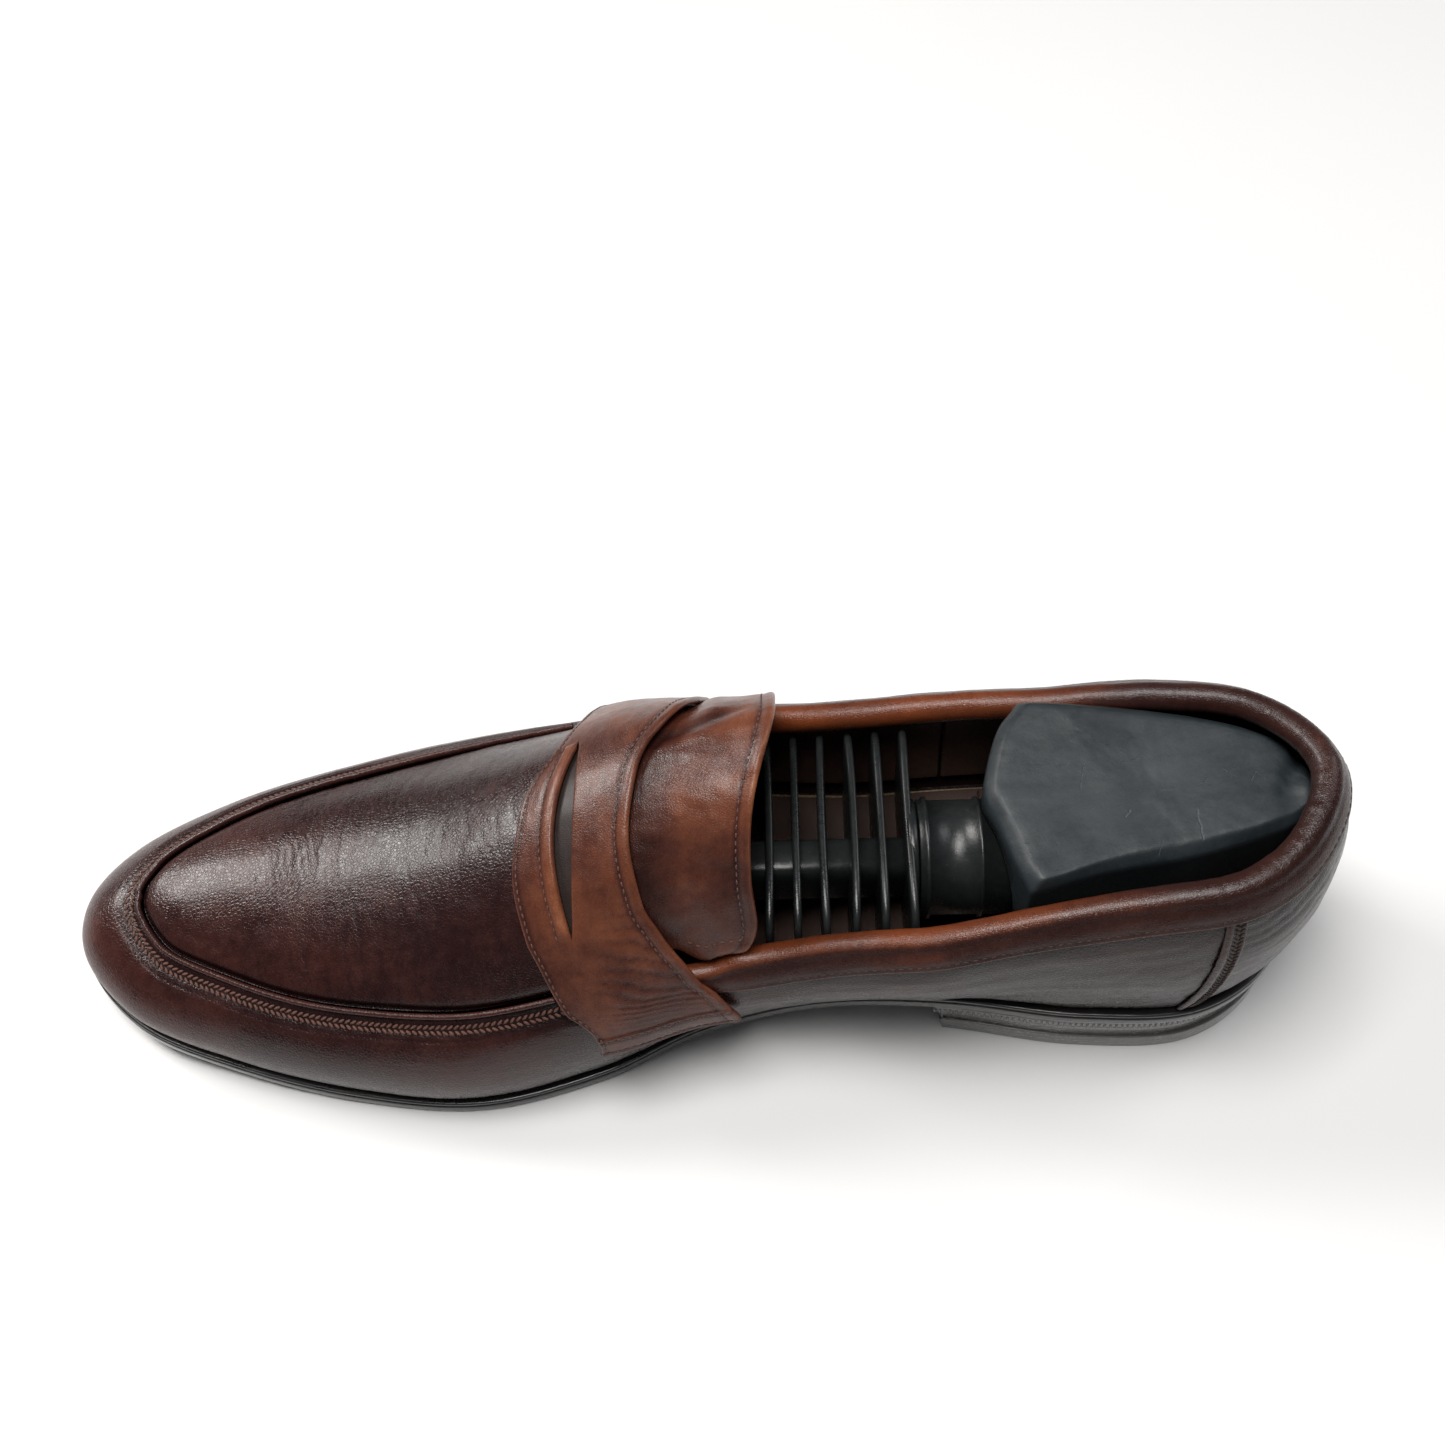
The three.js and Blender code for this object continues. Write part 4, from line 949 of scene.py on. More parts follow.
def footbed():
    """Sock over the insole and a soft pad under the heel."""
    sock = slab("sock_leather", *matching_edges(150, inset=6.2),
                rounded(0.0, (1, 1), 8.6, 9.6, 0.4))
    finish_piece(sock, "shoe", "lining", KID, "sock_lining")
    pad = slab("heel_cushion", *matching_edges(70, 70.0, 8.0),
               rounded(0.0, (1, 1), 9.9, 12.0, 0.9), crown=0.7)
    finish_piece(pad, "shoe", "lining", KID, "heel_pad")


# ------------------------------------------------------------------ upper
HAIR = 0.00045  # half the gap between panels that meet, as a share of the outline
VAMP_HEIGHT, QUARTER_HEIGHT, COUNTER_HEIGHT = 38, 46, 60
WALL_STOPS = 88


def on_stop(s):
    """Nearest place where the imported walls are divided."""
    return float(np.round(s * WALL_STOPS) / WALL_STOPS)


VAMP_JOIN = on_stop(s_at(-24, -1)), on_stop(s_at(-24, 1))
COUNTER_JOIN = on_stop(s_at(118, -1)), on_stop(s_at(118, 1))
LINING_JOIN = on_stop(s_at(62, -1)), on_stop(s_at(62, 1))
TIP = wall(TOE, 1.0)[0] + 0.2


def counter_lean(t):
    """Slant of the counter seam, as a share of the outline, from foot to top."""
    return 0.0065 * (0.5 - np.asarray(t, float))


def wall_face(s_from, s_to, t_from, t_to):
    """Face of a side panel between two seams that may lean."""
    def face(u, v):
        s0 = mix(s_from(0.5), s_to(0.5), u)
        t = mix(t_from, t_to(s0), v)
        s = mix(s_from(t), s_to(t), u)
        return wall(s, t), (s * EDGE_LENGTH, t * VAMP_HEIGHT), (s, t)
    return face


def fixed(value):
    return lambda t: value + 0.0 * np.asarray(t, float)


def quarter_top(s):
    """Full height beside the apron, then lower to make room for the collar's roll."""
    lowered = np.minimum(TOP_EDGE, below(s, ROLL_DROP))
    return mix(TOP_EDGE, lowered, step(edge_at(s)[0][..., 0], -16, -5))


def plum_share(base):
    """How far the dye has turned from burgundy at the toe to plum at the heel."""
    return step(base[..., 0], -40, 45)


def vamp_look(base, info):
    """Sunk track for the braid and flex creases over the ball; painted shade darkens the track, the
    creases and the foot, and the burnished toe is lighter.
    """
    s, t = info
    down = (1 - t) * reach(s)
    x = base[..., 0]
    ahead = step(x, -14, -24)
    track = step(down, 1.5, 2.0) * step(down, 5.5, 4.9) * ahead
    lie = np.stack([s * EDGE_LENGTH, t * VAMP_HEIGHT, 0 * s], -1)
    flex = step(x, -85, -35)
    relief = (-0.45 * track + 0.16 * rough(base, 24, 3)
              + 0.04 * flex * rough(lie, (15, 2.4, 1), 5) + 0.03 * flex * rough(lie, (7, 1.3, 1), 9))
    relief -= 0.35 * ahead * bell(down, 6.1, 0.5)
    # Colour shift: the toe is lighter with burnish; painted shade darkens the sunk track and the foot
    # of the wall; the colour follows the relief, with painted shade in its hollows and painted light
    # on its crests; darker towards the strap.
    painted_shade_and_tone = (0.16 * step(x, -112, -146) - 0.26 * track - 0.1 * step(t, 0.3, 0.02)
            - 0.12 * step(x, -60, -28) + 0.3 * (relief + 0.45 * track))
    return relief, painted_shade_and_tone


def wall_look(base, info):
    """Plain vamp ahead of the strap that passes into the streaked quarter behind it."""
    rear = step(base[..., 0], -20, 14)
    (relief, painted_shade_and_tone), (rear_relief, rear_painted_shade_and_tone) = vamp_look(base, info), quarter_look(base, info)
    return mix(relief, rear_relief, rear), mix(painted_shade_and_tone, rear_painted_shade_and_tone, rear)


def vamp():
    face = wall_face(fixed(VAMP_JOIN[0]), fixed(VAMP_JOIN[1]), LASTED, fixed(TOP_EDGE))
    panel = Panel("vamp_wall_leather", face, (330, 44), LEATHER, wall_look, 0.62,
                  butted=(0, 1), plum=plum_share)
    finish_piece(panel.obj, "shoe", "vamp", VAMP, "vamp")
    return panel


def nearest(points, line):
    """Distance from each point to a line of points."""
    flat = points.reshape(-1, 3)
    best = [np.sqrt(((flat[k:k + 2000, None] - line) ** 2).sum(-1).min(1))
            for k in range(0, len(flat), 2000)]
    return np.concatenate(best).reshape(points.shape[:-1])


SEAM = wall(np.linspace(VAMP_JOIN[0], VAMP_JOIN[1], 700), 1.0)


def apron_face(u, v):
    x = mix(TIP, TONGUE_ROOT - 0.6, 1 - np.cos(math.pi / 2 * u))
    point = over_instep(x, mix(-TOP_EDGE, TOP_EDGE, v))
    return point, (point[..., 0], point[..., 1]), None


def apron_look(base, _):
    """Crossing flex creases and a hollow along the seam; painted shade darkens the hollow and the
    crease valleys, and the middle of the toe is lighter with burnish and a painted highlight.
    """
    x, y = base[..., 0], base[..., 1]
    edge = nearest(base, SEAM)
    bend = x - 0.0045 * (y - 3) ** 2 + 2.6 * rough(base, (15, 22, 15), 2)
    flex = step(x, -113, -90) * step(x, -20, -36)
    patchy = np.clip(0.55 + 0.9 * rough(base, (10, 17, 10), 7), 0, 1)
    folds = creases(bend / 4.3) * patchy * flex
    diagonal = x + 0.35 * y + 1.5 * rough(base, (9, 9, 9), 12)
    fine = creases(diagonal / 1.75, 2.0) * np.clip(0.5 + rough(base, (8, 14, 8), 17), 0, 1) * flex
    relief = (0.11 * folds + 0.1 * fine + 0.32 * rough(base, 27, 4)
              - 0.95 * (1 - step(edge, 0.6, 2.6)) + 0.14 * bell(edge, 4.0, 1.6))
    # Colour shift: painted shade along the seam hollow and in the crease valleys, burnish and a
    # painted highlight over the toe, darker over the middle of the apron.
    painted_shade_and_tone = (-0.32 * (1 - step(edge, 0.8, 3.4)) + 0.12 * bell(x, -108, 22) * bell(y, -4, 22)
            + 0.12 * folds + 0.16 * fine - 0.1 * bell(x, -56, 20))
    return relief, painted_shade_and_tone


def apron():
    panel = Panel("apron_leather", apron_face, (150, 62), LEATHER, apron_look, 0.56)
    finish_piece(panel.obj, "shoe", "vamp", VAMP, "apron")


def tube(name, centre, side, up, radii, sides=12):
    """Round tube along centre points, with radii as (across, high)."""
    a = np.linspace(0, 2 * math.pi, sides, endpoint=False)[None, :, None]
    rings = centre[:, None] + (side[:, None] * np.cos(a) * radii[0]
                               + up[:, None] * np.sin(a) * radii[1])
    return loft(name, rings)


def loft(name, rings, closed=False, marks=None):
    """Solid through a row of rings; ends are closed to a point in their middle."""
    n, m = rings.shape[:2]
    ids = np.arange(n * m).reshape(n, m)
    grid = np.concatenate([ids, ids[:, :1]], 1)
    points = rings.reshape(-1, 3)
    if closed:
        faces = quads(np.concatenate([grid, grid[:1]]))
    else:
        points = np.concatenate([points, rings[[0, -1]].mean(1)])
        faces = quads(grid)
        for end, centre in ((0, n * m), (n - 1, n * m + 1)):
            faces += [[centre, int(grid[end, j]), int(grid[end, j + 1])] for j in range(m)]
    return make(name, points, faces, marks)


def piping():
    """Narrow rolled edge that stands on the seam between apron and vamp."""
    s = np.linspace(s_at(-27.5, -1), VAMP_JOIN[1], 460)
    seam = wall(s, 1.0)
    _, normal = edge_at(s)
    rise = wall(s, 1.0, 1.0) - seam
    inward = seam[:, :2] - normal * 6
    x = np.maximum(inward[:, 0], TIP)
    medial, lateral = side_line(x, -1, 1.0), side_line(x, 1, 1.0)
    v = np.clip(2 * (inward[:, 1] - medial[:, 1]) / (lateral[:, 1] - medial[:, 1]) - 1,
                -0.98, 0.98)
    slope = over_instep(x, v)[:, 2] - seam[:, 2]
    apron_up = np.concatenate([normal * slope[:, None], np.full((len(s), 1), 6.0)], 1)
    apron_up /= np.linalg.norm(apron_up, axis=1)[:, None]
    stand = rise + apron_up
    stand /= np.linalg.norm(stand, axis=1)[:, None]
    plan = np.concatenate([normal, np.zeros((len(s), 1))], 1)
    side = np.cross(np.cross([0, 0, 1], plan), stand)
    side /= np.linalg.norm(side, axis=1)[:, None]
    wander = 0.1 * rough(seam, 6, 31)[:, None]
    centre = seam + stand * (0.75 + wander) + plan * 0.15
    obj = tube("apron_piping_leather", centre, side, stand, (0.72, 0.85))
    count = len(obj.data.vertices)
    obj.data.attributes.new("painted_shade_and_tone", "FLOAT", "POINT").data.foreach_set(
        "value", np.full(count, 0.12))
    finish_piece(obj, "shoe", "vamp", VAMP, "apron_piping")


def quarter_look(base, info):
    """Long soft waves and streaks, finer wrinkles near the heel, smooth under the collar."""
    s, t = info
    x = base[..., 0]
    lie = np.stack([s * EDGE_LENGTH, t * QUARTER_HEIGHT, 0 * s], -1)
    down = (1 - t) * reach(s)
    under = step(down, BAND + 3, BAND - 1)
    ends = bell(x, 104, 14)
    relief = (0.3 * rough(lie, (34, 8, 1), 3) + 0.07 * rough(lie, (20, 2.6, 1), 6)
              + 0.03 * rough(lie, (7, 1.2, 1), 11)
              + 0.14 * ends * creases(lie[..., 1] / 6.5 + 0.05 * lie[..., 0]
                                     + 0.7 * rough(lie, (18, 9, 1), 21), 2.0))
    relief *= 1 - under
    # Colour shift: random tone, painted shade low on the wall, a lighter band below the collar, and
    # painted light and shade that follow the relief.
    painted_shade_and_tone = (0.12 * rough(lie, (30, 7, 1), 15) - 0.12 * bell(t, 0.15, 0.2)
            + 0.1 * bell(down, BAND + 6, 6) + 0.35 * relief)
    return relief, painted_shade_and_tone


def counter_look(base, info):
    """Level folds in the upper half of the heel."""
    s, t = info
    lie = np.stack([s * EDGE_LENGTH, t * COUNTER_HEIGHT, 0 * s], -1)
    down = (1 - t) * reach(s)
    under = step(down, BAND + 2, BAND - 1)
    high = step(t, 0.35, 0.7)
    fold = creases(down / 4.6 + 1.1 * rough(lie, (26, 12, 1), 8), 2.2)
    relief = ((0.22 * high * fold + 0.3 * rough(lie, (22, 9, 1), 13)
               + 0.03 * rough(lie, (9, 1.6, 1), 2)) * (1 - under))
    # Colour shift: random tone and painted light and shade that follow the folds, a little darker
    # overall.
    painted_shade_and_tone = 0.1 * rough(lie, (26, 9, 1), 19) + 0.2 * relief - 0.04
    return relief, painted_shade_and_tone


def quarters():
    """Medial and lateral quarters and the heel counter between them."""
    medial, lateral = COUNTER_JOIN
    spans = {
        "medial": (lambda t: medial + counter_lean(t) + HAIR, fixed(VAMP_JOIN[0]), 1),
        "lateral": (fixed(VAMP_JOIN[1]), lambda t: lateral - counter_lean(t) - HAIR, 0),
    }
    for side, (first, last, butted) in spans.items():
        panel = Panel(f"quarter_{side}_leather", wall_face(first, last, LASTED, quarter_top),
                      (150, 56), LEATHER, wall_look, 0.72, butted=(butted,), plum=plum_share)
        finish_piece(panel.obj, "shoe", "quarter", QUARTER, f"quarter_{side}")
    face = wall_face(lambda t: lateral - counter_lean(t) - 1 + HAIR,
                     lambda t: medial + counter_lean(t) - HAIR, LASTED, quarter_top)
    panel = Panel("heel_counter_leather", face, (84, 66), LEATHER, counter_look, 0.62,
                  plum=plum_share)
    finish_piece(panel.obj, "shoe", "quarter", QUARTER, "heel_counter_panel")


def counter_strips():
    """Narrow strips over the counter seams: a rolled front edge and a zigzag behind it."""
    half = STRIP_WIDTH / 2 / EDGE_LENGTH
    rows = []
    for side, join, forward in (("medial", COUNTER_JOIN[0], 1), ("lateral", COUNTER_JOIN[1], -1)):
        def face(u, v, join=join, forward=forward):
            t = mix(0.03, below(join, BAND) + 0.008, v)
            s = join + forward * (counter_lean(t) + mix(half, -half, u))
            return wall(s, t), (s * EDGE_LENGTH, t * QUARTER_HEIGHT), u * STRIP_WIDTH

        def look(base, across):
            relief = (0.35 * bell(across, 0.95, 0.7) - 0.3 * bell(across, 2.1, 0.35)
                      - 0.2 * bell(across, 3.2, 0.7) + 0.1 * rough(base, 2.5, 4))
            # The colour follows the relief: painted light on the rolled edge and painted shade in the
            # grooves, darker overall.
            return relief, -0.24 + 0.6 * relief
        panel = Panel(f"counter_strip_{side}_leather", face, (STRIP_WIDTH, 48), COUNTER_STRIP,
                      look, 0.3, 0.4)
        finish_piece(panel.obj, "shoe", "quarter", QUARTER, f"counter_seam_strip_{side}")
        v = np.linspace(0.02, 0.985, 120)
        for across, slant in ((2.75, 0.75), (3.6, -0.75)):
            rows.append((*panel.row(across / STRIP_WIDTH, v, 0.1), slant))
    braid = repeated("counter_zigzag_stitches", rows, 1.25, (1.5, 0.5, 0.4), DARK_THREAD, 5)
    finish_piece(braid, "shoe", "quarter", DARK_THREAD)


def seam_braid(panel):
    """Two rows of slanted stitches in the sunk track round the apron."""
    u = np.linspace(0.004, 0.996, 700)
    s = mix(VAMP_JOIN[0], VAMP_JOIN[1], u)
    rows = []
    for down, slant in ((2.75, 0.62), (4.15, -0.62)):
        t = below(s, down)
        v = (t - LASTED) / (TOP_EDGE - LASTED)
        rows.append((*panel.row(u, v, 0.06), slant))
    braid = repeated("apron_braid_stitches", rows, 1.45, (1.75, 0.72, 0.5), BROWN_THREAD, 7)
    finish_piece(braid, "shoe", "vamp", BROWN_THREAD)


# ------------------------------------------------------------------ collar
COLLAR_ENDS = s_at(-3.0, 1) - 1, s_at(-3.0, -1)
ROLL_LENGTH = math.pi * ROLL_RADIUS
COLLAR_WIDTH = (BAND - ROLL_DROP) + ROLL_LENGTH + INSIDE


def collar_face(u, v):
    """Round the topline: up the band, over the roll and down the inside."""
    s = mix(COLLAR_ENDS[0], COLLAR_ENDS[1], u)
    q = v * COLLAR_WIDTH
    x = edge_at(s)[0][..., 0]
    tuck = step(x, 12.5, 4.5)
    radius = ROLL_RADIUS - 0.75 * tuck
    end = below(s, ROLL_DROP + 1.6 * tuck)
    band = wall(s, below(s, BAND - q), ROLL_MIDDLE + radius)
    middle = wall(s, end, ROLL_MIDDLE)
    out = wall(s, end, ROLL_MIDDLE + 1) - middle
    up = wall(s, end + 0.01, ROLL_MIDDLE) - middle
    up /= np.linalg.norm(up, axis=-1, keepdims=True)
    angle = np.clip((q - (BAND - ROLL_DROP)) / ROLL_RADIUS, 0, math.pi)[..., None]
    roll = middle + radius[..., None] * (out * np.cos(angle) + up * np.sin(angle))
    inside = wall(s, below(s, ROLL_DROP + q - (COLLAR_WIDTH - INSIDE)), ROLL_MIDDLE - radius)
    band = mix(band, wall(s, mix(below(s, BAND), end, q / (BAND - ROLL_DROP)),
                          ROLL_MIDDLE + radius), tuck[..., None])
    point = np.where((q < BAND - ROLL_DROP)[..., None], band,
                     np.where((q > COLLAR_WIDTH - INSIDE)[..., None], inside, roll))
    return point, (s * EDGE_LENGTH, q), (s, q, x)


def collar_look(base, info):
    s, q, x = info
    lie = np.stack([s * EDGE_LENGTH, q, 0 * s], -1)
    rolled = step(q, 5.4, 8.2)
    relief = (-0.16 * bell(q, 1.3, 0.45) - 0.16 * bell(q, 5.6, 0.7) + 0.1 * rough(lie, (9, 4, 1), 3)
              + 0.12 * rolled * step(x, 80, 120) * rough(lie, (2.6, 9, 1), 5))
    # The roll is lighter than the band: partly the burnish of the worn cognac roll, partly a painted
    # highlight where it catches the light, with the band in painted shade; darker again towards the
    # heel. Painted shade also darkens the stitch line and the crease between band and roll; the
    # band's lower cut edge is lighter.
    light = 0.17 - 0.36 * step(x, 60, 118)
    painted_shade_and_tone = (mix(-0.13, light, rolled) - 0.1 * bell(q, 1.3, 0.6) - 0.12 * bell(q, 5.8, 0.9)
            + 0.1 * rough(lie, (24, 6, 1), 8) + 0.14 * bell(q, 0, 0.5))
    return relief, painted_shade_and_tone


def collar():
    panel = Panel("collar_binding_leather", collar_face, (345, COLLAR_WIDTH), (-0.6, 0.6),
                  collar_look, 0.62, 0.55)
    finish_piece(panel.obj, "shoe", "collar", COGNAC, "collar_binding")
    u = np.linspace(0.01, 0.99, 700)
    row = (*panel.row(u, 1.3 / COLLAR_WIDTH, 0.02), 0.0)
    stitches = repeated("collar_stitches", [row], 2.0, (1.35, 0.42, 0.34), DARK_THREAD, 11)
    finish_piece(stitches, "shoe", "collar", DARK_THREAD)


# ------------------------------------------------------------------ saddle strap and tongue
strap_front = smooth(STRAP_FRONT)
strap_rear = smooth(STRAP_REAR)
STRAP_SPAN = 150.0


def strap():
    """Saddle strap: a front and a rear part that are one skin except where the slit opens."""
    v = edge_steps(STRAP_SPAN, 0.62, EDGE_ROUND) / STRAP_SPAN
    front, rear = strap_front(v)[:, 0], strap_rear(v)[:, 0]
    q = (saddle(-25.0, v)[:, 1] - SLIT_START_Y) / SLIT_LENGTH
    held = np.clip(q, 0, 1)
    lens = 2 * held * (1 - held)
    share = (mix(*SLIT_LINE, held) - front) / (rear - front)
    share = mix(np.interp(q, [0, 1], [share[np.abs(q).argmin()], share[np.abs(q - 1).argmin()]]),
                0.45, step(np.abs(q - 0.5), 0.5, 1.1))
    outside = (q < 0) | (q > 1)
    split = np.where(outside, front + share * (rear - front), mix(*SLIT_LINE, held))
    lip, back = split - 8 * lens, split + 0.5 * lens
    a, b = edge_steps(9, 0.6, EDGE_ROUND) / 9, edge_steps(15, 0.62, EDGE_ROUND) / 15
    x = np.concatenate([mix(front[None], lip[None], a[:, None]),
                        mix(back[None], rear[None], b[:, None])])
    w = np.broadcast_to(v[None], x.shape)
    opened = step(back - lip, 0.05, 0.7)[None]
    lip_gap, back_gap = lip[None] - x, x - back[None]
    is_front = np.arange(len(x))[:, None] < len(a)
    gap = np.where(is_front, lip_gap, back_gap)
    fill = (fullness(x - front, EDGE_ROUND) * fullness(rear - x, EDGE_ROUND)
            * mix(1.0, fullness(gap, EDGE_ROUND), opened)
            * fullness(np.minimum(w, 1 - w) * STRAP_SPAN, EDGE_ROUND))
    base = saddle(x, w)
    pieces = np.linalg.norm(np.diff(saddle(-8.0, v), axis=0), axis=1)
    along = np.concatenate([[0], np.cumsum(pieces)])
    end = np.broadcast_to(np.minimum(along, along[-1] - along)[None], x.shape)
    d_front, d_rear = x - front, rear - x
    lip_zone = opened * is_front * np.ones_like(x)
    diagonal = (w * STRAP_SPAN + 0.3 * x) / 2.5 + 0.5 * rough(base, 9, 5)
    fan = bell(w, 0.2, 0.1) * step(x, -22, -12) * step(d_rear, 1.0, 4.0)
    low_hem, high_hem = HEM_STITCHES
    relief = (0.42 * step(end, 6.3, 5.8) - 0.2 * bell(end, high_hem, 0.4)
              - 0.2 * bell(end, low_hem, 0.4)
              + 0.34 * lip_zone * step(lip_gap, 2.7, 2.1)
              - 0.2 * lip_zone * bell(lip_gap, LIP_STITCH, 0.4)
              - 0.16 * bell(d_front, FRONT_STITCH, 0.4) - 0.16 * bell(d_rear, REAR_STITCH, 0.4)
              + 0.2 * bell(d_rear, 1.2, 0.9) + 0.17 * fan * creases(diagonal, 2.0)
              + 0.2 * rough(base, 14, 2) + 0.06 * rough(base, (2.2, 5, 2.2), 6))
    # Colour shift: random tone and lighter cut edges; painted shade in the stitch grooves, in the
    # fan's creases, towards the strap's ends down the sides and on its lateral side; lighter along
    # the slit's lip.
    painted_shade_and_tone = (0.16 * rough(base, (11, 15, 11), 9) + 0.14 * bell(d_rear, 0.15, 0.45)
            + 0.12 * bell(d_front, 0.1, 0.4) - 0.4 * bell(d_front, FRONT_STITCH, 0.5)
            - 0.42 * bell(d_rear, REAR_STITCH, 0.5) - 0.35 * bell(end, high_hem, 0.5)
            - 0.3 * bell(end, low_hem, 0.5)
            - 0.1 * step(end, 24, 8) - 0.1 * step(w, 0.72, 0.86)
            + 0.22 * lip_zone * bell(lip_gap, 1.0, 1.0)
            - 0.22 * lip_zone * bell(lip_gap, LIP_STITCH, 0.6)
            + 0.3 * fan * creases(diagonal, 2.0))
    marks = {"lie": np.stack([w * STRAP_SPAN, x, 0 * x], -1), "painted_shade_and_tone": painted_shade_and_tone}
    obj, upper, out = two_sided("saddle_strap_leather", base, STRAP, fill, relief, marks,
                                gap_after=len(a) - 1)
    finish_piece(obj, "shoe", "strap", CHESTNUT, "saddle_strap")

    def row(part, distance_to, distance, keep):
        """Line on one part of the strap where a distance from its edge is reached."""
        rows = slice(0, len(a)) if part == 0 else slice(len(a), None)
        line, facing = [], []
        for j in np.nonzero(keep)[0]:
            d = distance_to[rows, j]
            order = np.argsort(d)
            for target, grid in ((line, upper), (facing, out)):
                target.append([np.interp(distance, d[order], grid[rows, j][order, c])
                               for c in range(3)])
        return np.array(line) + np.array(facing) * 0.03, np.array(facing), 0.0
    inner = (v > 0.012) & (v < 0.988)
    rows = [row(0, d_front, FRONT_STITCH, inner), row(1, d_rear, REAR_STITCH, inner),
            row(0, lip_gap, LIP_STITCH, (q > 0.02) & (q < 0.98))]
    for level in HEM_STITCHES:
        for side in (0, 1):
            j = int(np.abs(along - (level if side == 0 else along[-1] - level)).argmin())
            keep = (d_front[:, j] > 1.6) & (d_rear[:, j] > 1.6)
            keep &= np.concatenate([[True], np.diff(x[:, j]) > 0.05])
            rows.append((upper[keep, j] + out[keep, j] * 0.03, out[keep, j], 0.0))
    stitches = repeated("strap_stitches", rows, 1.75, (1.25, 0.44, 0.36), BROWN_THREAD, 13)
    finish_piece(stitches, "shoe", "strap", BROWN_THREAD)


def slit_patch():
    """Lining that shows through the slit, darkened all over with painted shade."""
    def face(u, v):
        w = mix(0.27, 0.66, v)
        x = mix(np.maximum(strap_front(w)[..., 0] + 2, -30.5), -20, u)
        point = saddle(x, w)
        return point, (point[..., 1], x), None
    # The constant colour shift of -0.36 is painted shade inside the slit.
    patch = Panel("slit_patch_leather", face, (10, 50), (0.3, 0.9),
                  lambda base, _: (0.08 * rough(base, (3, 9, 3), 2), -0.36 + 0 * base[..., 0]),
                  0.9, 0.3)
    finish_piece(patch.obj, "shoe", "lining", KID, "slit_backing")


def tongue_end(v):
    """x of the tongue's far edge, from the medial (-1) to the lateral (1) side."""
    rounding = 1 - np.sqrt(1 - np.clip((-v - 0.88) / 0.12, 0, 1) ** 2)
    return 15.1 + 6.1 * step(v, -0.6, 0.5) + 1.2 * step(v, -0.7, -0.95) - 4.0 * rounding


def tongue_face(u, v):
    across = mix(-1, 1, v)
    x = mix(TONGUE_ROOT, tongue_end(across), u)
    free = step(x, 0, 8.5)
    point = over_instep(x, across * mix(0.955, 1.05, step(x, -3, 6)))
    point[..., 2] += free * np.where(across < 0, 5.6 * np.abs(across) ** 3, 7.5 * across ** 2)
    point[..., 2] += 2.0 * step(across, 0.55, 1) * step(x, 9, 20) - 0.5 * bell(x, 12, 5) * free
    return point, (point[..., 1], x), (x, across, tongue_end(across) - x)


def tongue_look(base, info):
    x, across, edge = info
    y = base[..., 1]
    side = (1 - np.abs(across)) * TONGUE_HALF
    line = (y - 12) - 0.34 * (x + 8)
    fold = bell(line, 0, 2.3) * step(x, -9, -3) * step(x, 17, 8)
    fold_b = bell(y + 13 + 0.25 * x, 0, 2.6) * step(x, 0, 6)
    ripple = rough(base, (7, 2.2, 7), 5)
    relief = (-0.75 * fold - 0.35 * fold_b + 0.5 * rough(base, (19, 14, 19), 8)
              + 0.1 * ripple - 0.14 * bell(edge, TONGUE_STITCH, 0.45) + 0.28 * bell(edge, 1.1, 0.9)
              - 0.1 * bell(side, 1.6, 0.4))
    # Colour shift: painted shade in the two folds and the stitch groove, a painted shadow of the
    # strap over the end near the root, lighter cut edges and side edges, a darker strip on the medial
    # side and random tone.
    painted_shade_and_tone = (0.05 - 0.3 * fold - 0.15 * fold_b + 0.16 * rough(base, (13, 11, 13), 14) + 0.06 * ripple
            + 0.24 * bell(edge, 0.2, 0.5) - 0.42 * bell(edge, TONGUE_STITCH, 0.5)
            - 0.35 * step(x, 2, -8) + 0.2 * bell(side, 0, 0.7) * step(x, 4, 9)
            - 0.16 * bell(across, -0.75, 0.3))
    return relief, painted_shade_and_tone


def tongue():
    """Tongue with its stitches, flat at its root and raised towards its free end."""
    panel = Panel("tongue_leather", tongue_face, (38, 66), LEATHER, tongue_look, 0.55)
    obj = panel.obj
    obj.data.materials.append(CHESTNUT)
    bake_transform(obj)
    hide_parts("tongue_root", "tongue_flap")
    v = np.linspace(0.03, 0.97, 200)
    length = tongue_end(mix(-1, 1, v)) - TONGUE_ROOT
    rows = [(*panel.row(1 - TONGUE_STITCH / length, v, 0.03), 0.0)]
    for v in (0.0275, 0.9725):
        edge = float(tongue_end(mix(-1, 1, v)))
        share = (np.linspace(1.0, edge - 3.5, 40) - TONGUE_ROOT) / (edge - TONGUE_ROOT)
        rows.append((*panel.row(share, v, 0.03), 0.0))
    stitches = repeated("tongue_stitches", rows, 1.8, (1.25, 0.44, 0.36), BROWN_THREAD, 17)
    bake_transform(stitches)


